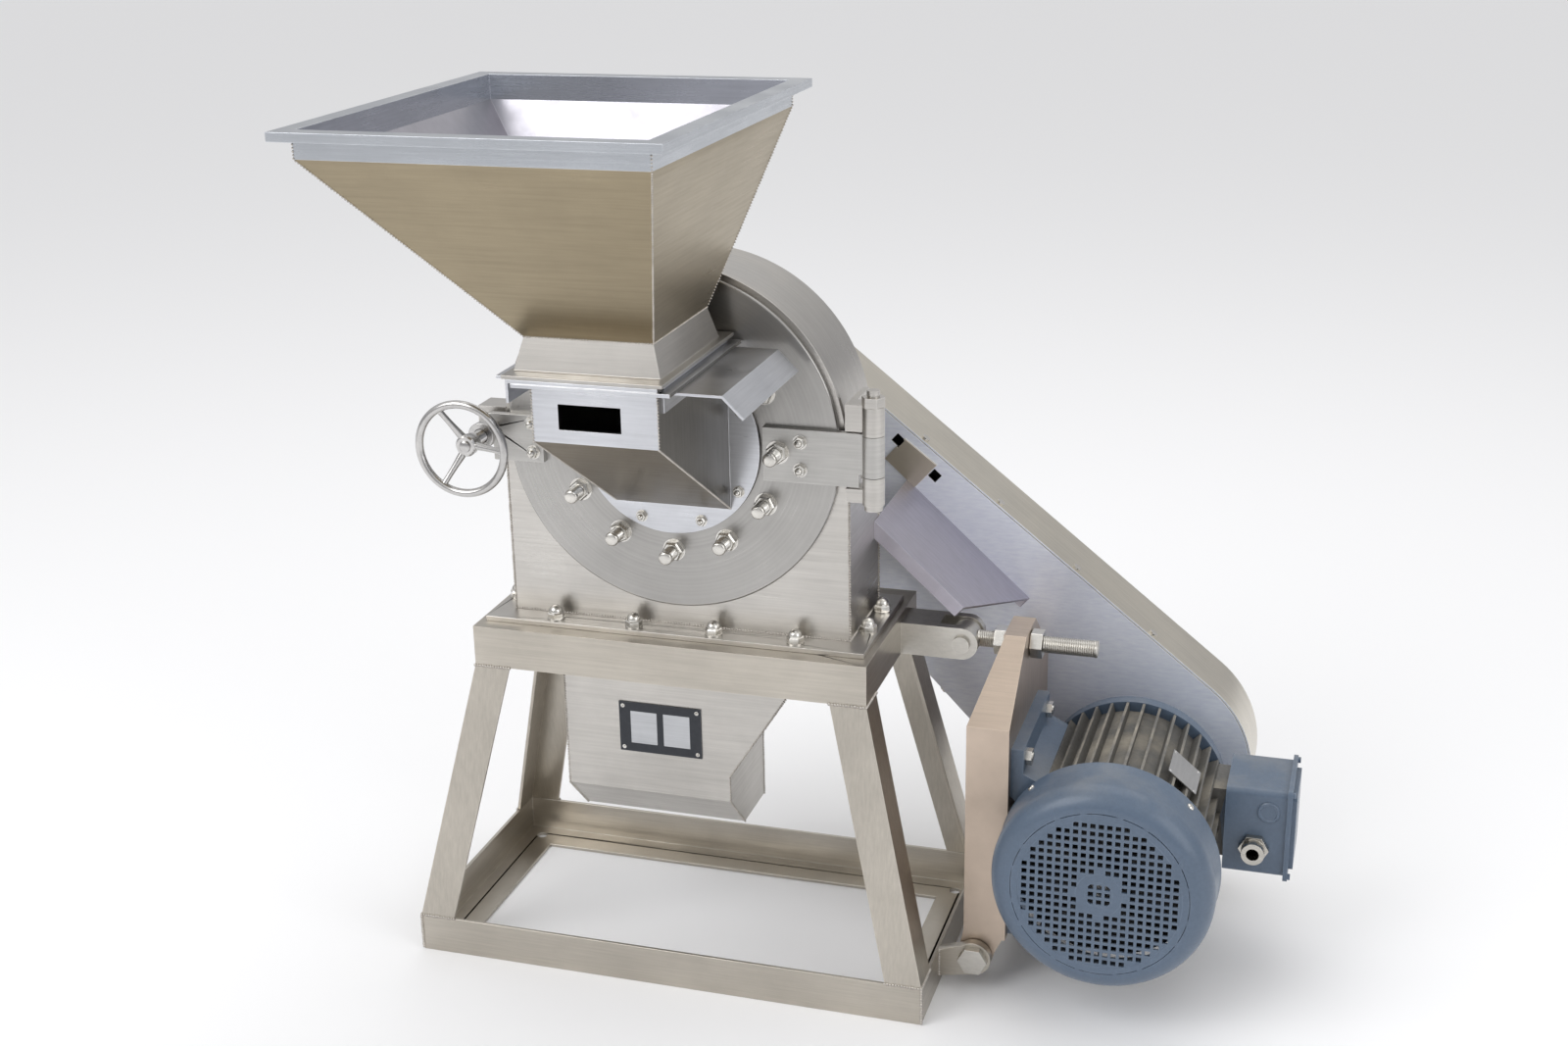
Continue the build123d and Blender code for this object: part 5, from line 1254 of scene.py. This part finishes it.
class MILL_OT_handwheel(bpy.types.Operator):
    """Make the clamp's handwheel, screw and collar"""

    bl_idname = "mill.handwheel"
    bl_label = "Handwheel"

    def execute(self, context):
        sizes = context.scene.mill_sizes
        chrome = finish("Wheel steel", (0.52, 0.51, 0.50), (0.16, 0.3), stretch=(120, 120, 120), bump=0.05)
        low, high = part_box("handwheel")
        centre_x, centre_z = (low.x + high.x) / 2, (low.z + high.z) / 2
        rim_y, hub_y = -0.160, -0.151
        ring = []
        for step in range(20):
            angle = math.tau * step / 20
            ring.append((0.050 + 0.0045 * math.cos(angle), 0.0045 * math.sin(angle)))
        rim = lathe("rim", axis_frame((centre_x, rim_y, centre_z), (0, 1, 0)), ring, 96, closed=True)
        hub_profile = [(0.0, 0.0), (0.010, 0.0), (0.012, 0.002), (0.012, 0.009), (0.0105, 0.012),
                       (0.0105, 0.018), (0.0, 0.018)]
        hub = lathe("hub", axis_frame((centre_x, hub_y, centre_z), (0, 1, 0)), hub_profile, 40)
        cap = lathe("cap", axis_frame((centre_x, hub_y - 0.0035, centre_z), (0, 1, 0)),
                    [(0.0, 0.0), (0.004, 0.0003), (0.006, 0.0012), (0.0068, 0.0036), (0.0, 0.0038)], 32)
        spokes = []
        for degrees in (0.0, 120.0, 240.0):
            inner_x, inner_z = polar(0.009, degrees, centre_x, centre_z)
            outer_x, outer_z = polar(0.050, degrees, centre_x, centre_z)
            spokes.append(rod("spoke", (inner_x, hub_y + 0.006, inner_z), (outer_x, rim_y, outer_z),
                              [0.0046, 0.0042, 0.0036, 0.0033, 0.0033, 0.0036], 18))
        place = axis_frame((centre_x, hub_y + 0.018, centre_z), (0, 1, 0))
        screw = thread("screw", place, high.y - hub_y - 0.020, 0.008, sizes, 22, 0.002)
        wheel = joined("handwheel_finished", [rim, hub, cap, screw] + spokes)
        piece = new_piece("handwheel_finished", wheel, [chrome])
        settle(piece, "handwheel", ("handwheel",))
        finished("clamp_collar", "clamp_slide", [chrome], sizes.edge)
        return {"FINISHED"}


class MILL_OT_feed(bpy.types.Operator):
    """Finish the feed chute, its hood and the gate"""

    bl_idname = "mill.feed"
    bl_label = "Feed chute"

    def execute(self, context):
        sizes = context.scene.mill_sizes
        bright = finish("Chute bright", (0.60, 0.61, 0.64), (0.24, 0.38), stretch=(12, 12, 380))
        # the next two finishes are the chute's steel darkened as painted shade: one for the right wall, a
        # browner one for the underside
        dark = finish("Chute wall painted shade", (0.20, 0.19, 0.175), (0.3, 0.42), stretch=(12, 300, 12))
        painted_shade_underside = finish("Chute underside painted shade", (0.22, 0.19, 0.15), (0.3, 0.42), stretch=(12, 300, 12))

        def face(place, normal):
            """Bright front; right wall and underside darker as painted shade, the underside browner."""
            if normal.x > 0.7:
                return 1
            return 2 if normal.z < -0.4 else 0

        finished("feed_chute", "door", [bright, dark, painted_shade_underside], sizes.edge * 0.75, face)
        finished("feed_hood", "door", [bright], 0.0006)
        finished("feed_gate", "gate", [bright], 0.0005)
        front, lip = -0.287, 0.690
        paths = []
        for x in (-0.064, 0.069):
            corner = Vector((x, front, lip))
            paths.append([corner, Vector((x, front, 0.746))])
            paths.append([corner, Vector((x, -0.078, 0.561))])
        seams("chute_welds", "door", "chute_steel", paths, sizes, 0.0013)
        return {"FINISHED"}


class MILL_OT_hopper(bpy.types.Operator):
    """Finish the hopper and its neck and weld their corners"""

    bl_idname = "mill.hopper"
    bl_label = "Hopper"

    def execute(self, context):
        sizes = context.scene.mill_sizes
        colours = context.scene.mill_colours
        outside = finish("Hopper outside", colours.olive, (0.24, 0.36), stretch=(10, 10, 300), cloud=3.0)
        inside = finish("Hopper inside", colours.pale, (0.28, 0.4), stretch=(40, 40, 40), wear_and_highlight=0.1,
                        cloud=3.0)
        band = finish("Hopper band", (0.56, 0.585, 0.62), (0.22, 0.34), stretch=(9, 9, 300), bump=0.06)
        plain = finish("Hopper neck", (0.50, 0.48, 0.45), (0.26, 0.4), stretch=(9, 9, 300), bump=0.06)
        low, high = HOPPER_LOW, HOPPER_HIGH
        middle = Vector(((low.x + high.x) / 2, (low.y + high.y) / 2, 0))

        def face(place, normal):
            """Warm outside, pale inside, cool band and rim."""
            inward = (middle.x - place.x) * normal.x + (middle.y - place.y) * normal.y
            if place.z > 0.984:
                return 2
            return 1 if inward > 0 and normal.z > 0 else 0

        finished("hopper", "door", [outside, inside, band], sizes.edge, face)
        finished("hopper_neck", "door", [plain], sizes.edge)
        foot, band_foot, band_top = 0.792, 0.985, 1.002
        left, right, front, back = -0.077, 0.060, -0.268, -0.108
        corners = []
        for foot_x, band_x in ((left, -0.226), (right, 0.122)):
            for foot_y, band_y in ((front, -0.417), (back, 0.004)):
                corners.append([
                    Vector((foot_x, foot_y, foot)),
                    Vector((band_x, band_y, band_foot)),
                    Vector((band_x, band_y, band_top)),
                ])
        around = ((left, front), (right, front), (right, back), (left, back), (left, front))
        corners.append([Vector((x, y, foot)) for x, y in around])
        seams("hopper_welds", "door", "hopper_steel", corners, sizes, 0.0012)
        return {"FINISHED"}


class MILL_OT_stage(bpy.types.Operator):
    """Lay the floor, light the room and set the camera"""

    bl_idname = "mill.stage"
    bl_label = "Studio"

    def execute(self, context):
        stage = context.scene.mill_stage
        scene = context.scene
        scene.view_settings.view_transform = "Standard"
        floor_mesh = bpy.data.meshes.new("floor")
        reach = 40.0
        floor_mesh.from_pydata([(a * reach, b * reach, 0) for a, b in SQUARE], [], [(0, 1, 2, 3)])
        paint = bpy.data.materials.new("Studio floor")
        paint.use_nodes = True
        surface = next(node for node in paint.node_tree.nodes if node.type == "BSDF_PRINCIPLED")
        surface.inputs["Base Color"].default_value = (0.92, 0.92, 0.93, 1.0)
        surface.inputs["Roughness"].default_value = 0.8
        floor_mesh.materials.append(paint)
        floor = bpy.data.objects.new("floor", floor_mesh)
        scene.collection.objects.link(floor)
        world = bpy.data.worlds.new("Studio room")
        world.use_nodes = True
        tree = world.node_tree
        background = next(node for node in tree.nodes if node.type == "BACKGROUND")
        background.inputs["Strength"].default_value = stage.sky
        ramp = tree.nodes.new("ShaderNodeValToRGB")
        ramp.color_ramp.elements[0].position = 0.48
        ramp.color_ramp.elements[0].color = (0.42, 0.42, 0.44, 1.0)
        ramp.color_ramp.elements[1].position = 0.85
        ramp.color_ramp.elements[1].color = (1.0, 1.0, 1.0, 1.0)
        parts = tree.nodes.new("ShaderNodeSeparateXYZ")
        wire(tree, tree.nodes.new("ShaderNodeTexCoord").outputs["Generated"], parts.inputs[0])
        wire(tree, spread(tree, parts.outputs["Z"], -1.0, 1.0), ramp.inputs[0])
        seen = tree.nodes.new("ShaderNodeLightPath")
        room = blend_colour(tree, seen.outputs["Is Camera Ray"], ramp.outputs[0], (0.833, 0.833, 0.842))
        wire(tree, room, background.inputs["Color"])
        scene.world = world
        for name, place, aim, size, power in (
            ("key light", (-1.9, -2.6, 3.0), (0.1, 0.0, 0.5), 2.4, stage.key),
            ("fill light", (3.0, -1.4, 1.6), (0.3, 0.0, 0.4), 2.0, stage.fill),
            ("top light", (0.4, 1.0, 3.4), (0.1, 0.0, 0.4), 2.6, stage.fill),
        ):
            lamp = bpy.data.lights.new(name, "AREA")
            lamp.size = size
            lamp.energy = power
            holder = bpy.data.objects.new(name, lamp)
            holder.location = place
            holder.rotation_euler = (Vector(aim) - Vector(place)).to_track_quat("-Z", "Y").to_euler()
            scene.collection.objects.link(holder)
        camera = bpy.data.cameras.new("camera")
        camera.lens = stage.lens
        camera.sensor_width = 36.0
        camera.shift_x = 0.0024
        camera.shift_y = 0.0012
        eye = bpy.data.objects.new("camera", camera)
        turn = (
            Matrix.Rotation(math.radians(17.41), 4, "Z")
            @ Matrix.Rotation(math.radians(90.0 - 19.39), 4, "X")
            @ Matrix.Rotation(math.radians(-1.06), 4, "Z")
        )
        eye.matrix_world = Matrix.Translation((0.7434, -2.0476, 1.2735)) @ turn
        scene.collection.objects.link(eye)
        scene.camera = eye
        return {"FINISHED"}


class MILL_PT_pieces(bpy.types.Panel):
    """Every group of pieces, in the order in which they are made"""

    bl_label = "Hammer mill"
    bl_idname = "MILL_PT_pieces"
    bl_space_type = "VIEW_3D"
    bl_region_type = "UI"
    bl_category = "Mill"

    def draw(self, context):
        for operator in OPERATORS:
            self.layout.operator(operator.bl_idname)


OPERATORS = (
    MILL_OT_stage,
    MILL_OT_stand,
    MILL_OT_spout,
    MILL_OT_housing,
    MILL_OT_rotor,
    MILL_OT_belts,
    MILL_OT_guard,
    MILL_OT_motor,
    MILL_OT_tensioner,
    MILL_OT_door,
    MILL_OT_handwheel,
    MILL_OT_feed,
    MILL_OT_hopper,
)
CLASSES = (MillSizes, MillColours, MillStage) + OPERATORS + (MILL_PT_pieces,)


def register():
    """Register every class and hang the properties on the scene."""
    for entry in CLASSES:
        bpy.utils.register_class(entry)
    bpy.types.Scene.mill_sizes = bpy.props.PointerProperty(type=MillSizes)
    bpy.types.Scene.mill_colours = bpy.props.PointerProperty(type=MillColours)
    bpy.types.Scene.mill_stage = bpy.props.PointerProperty(type=MillStage)


def unregister():
    """Undo register."""
    del bpy.types.Scene.mill_stage
    del bpy.types.Scene.mill_colours
    del bpy.types.Scene.mill_sizes
    for entry in reversed(CLASSES):
        bpy.utils.unregister_class(entry)


def main():
    """Make every piece in order."""
    register()
    for operator in OPERATORS:
        group, call = operator.bl_idname.split(".")
        getattr(getattr(bpy.ops, group), call)()


if __name__ == "__main__":
    main()
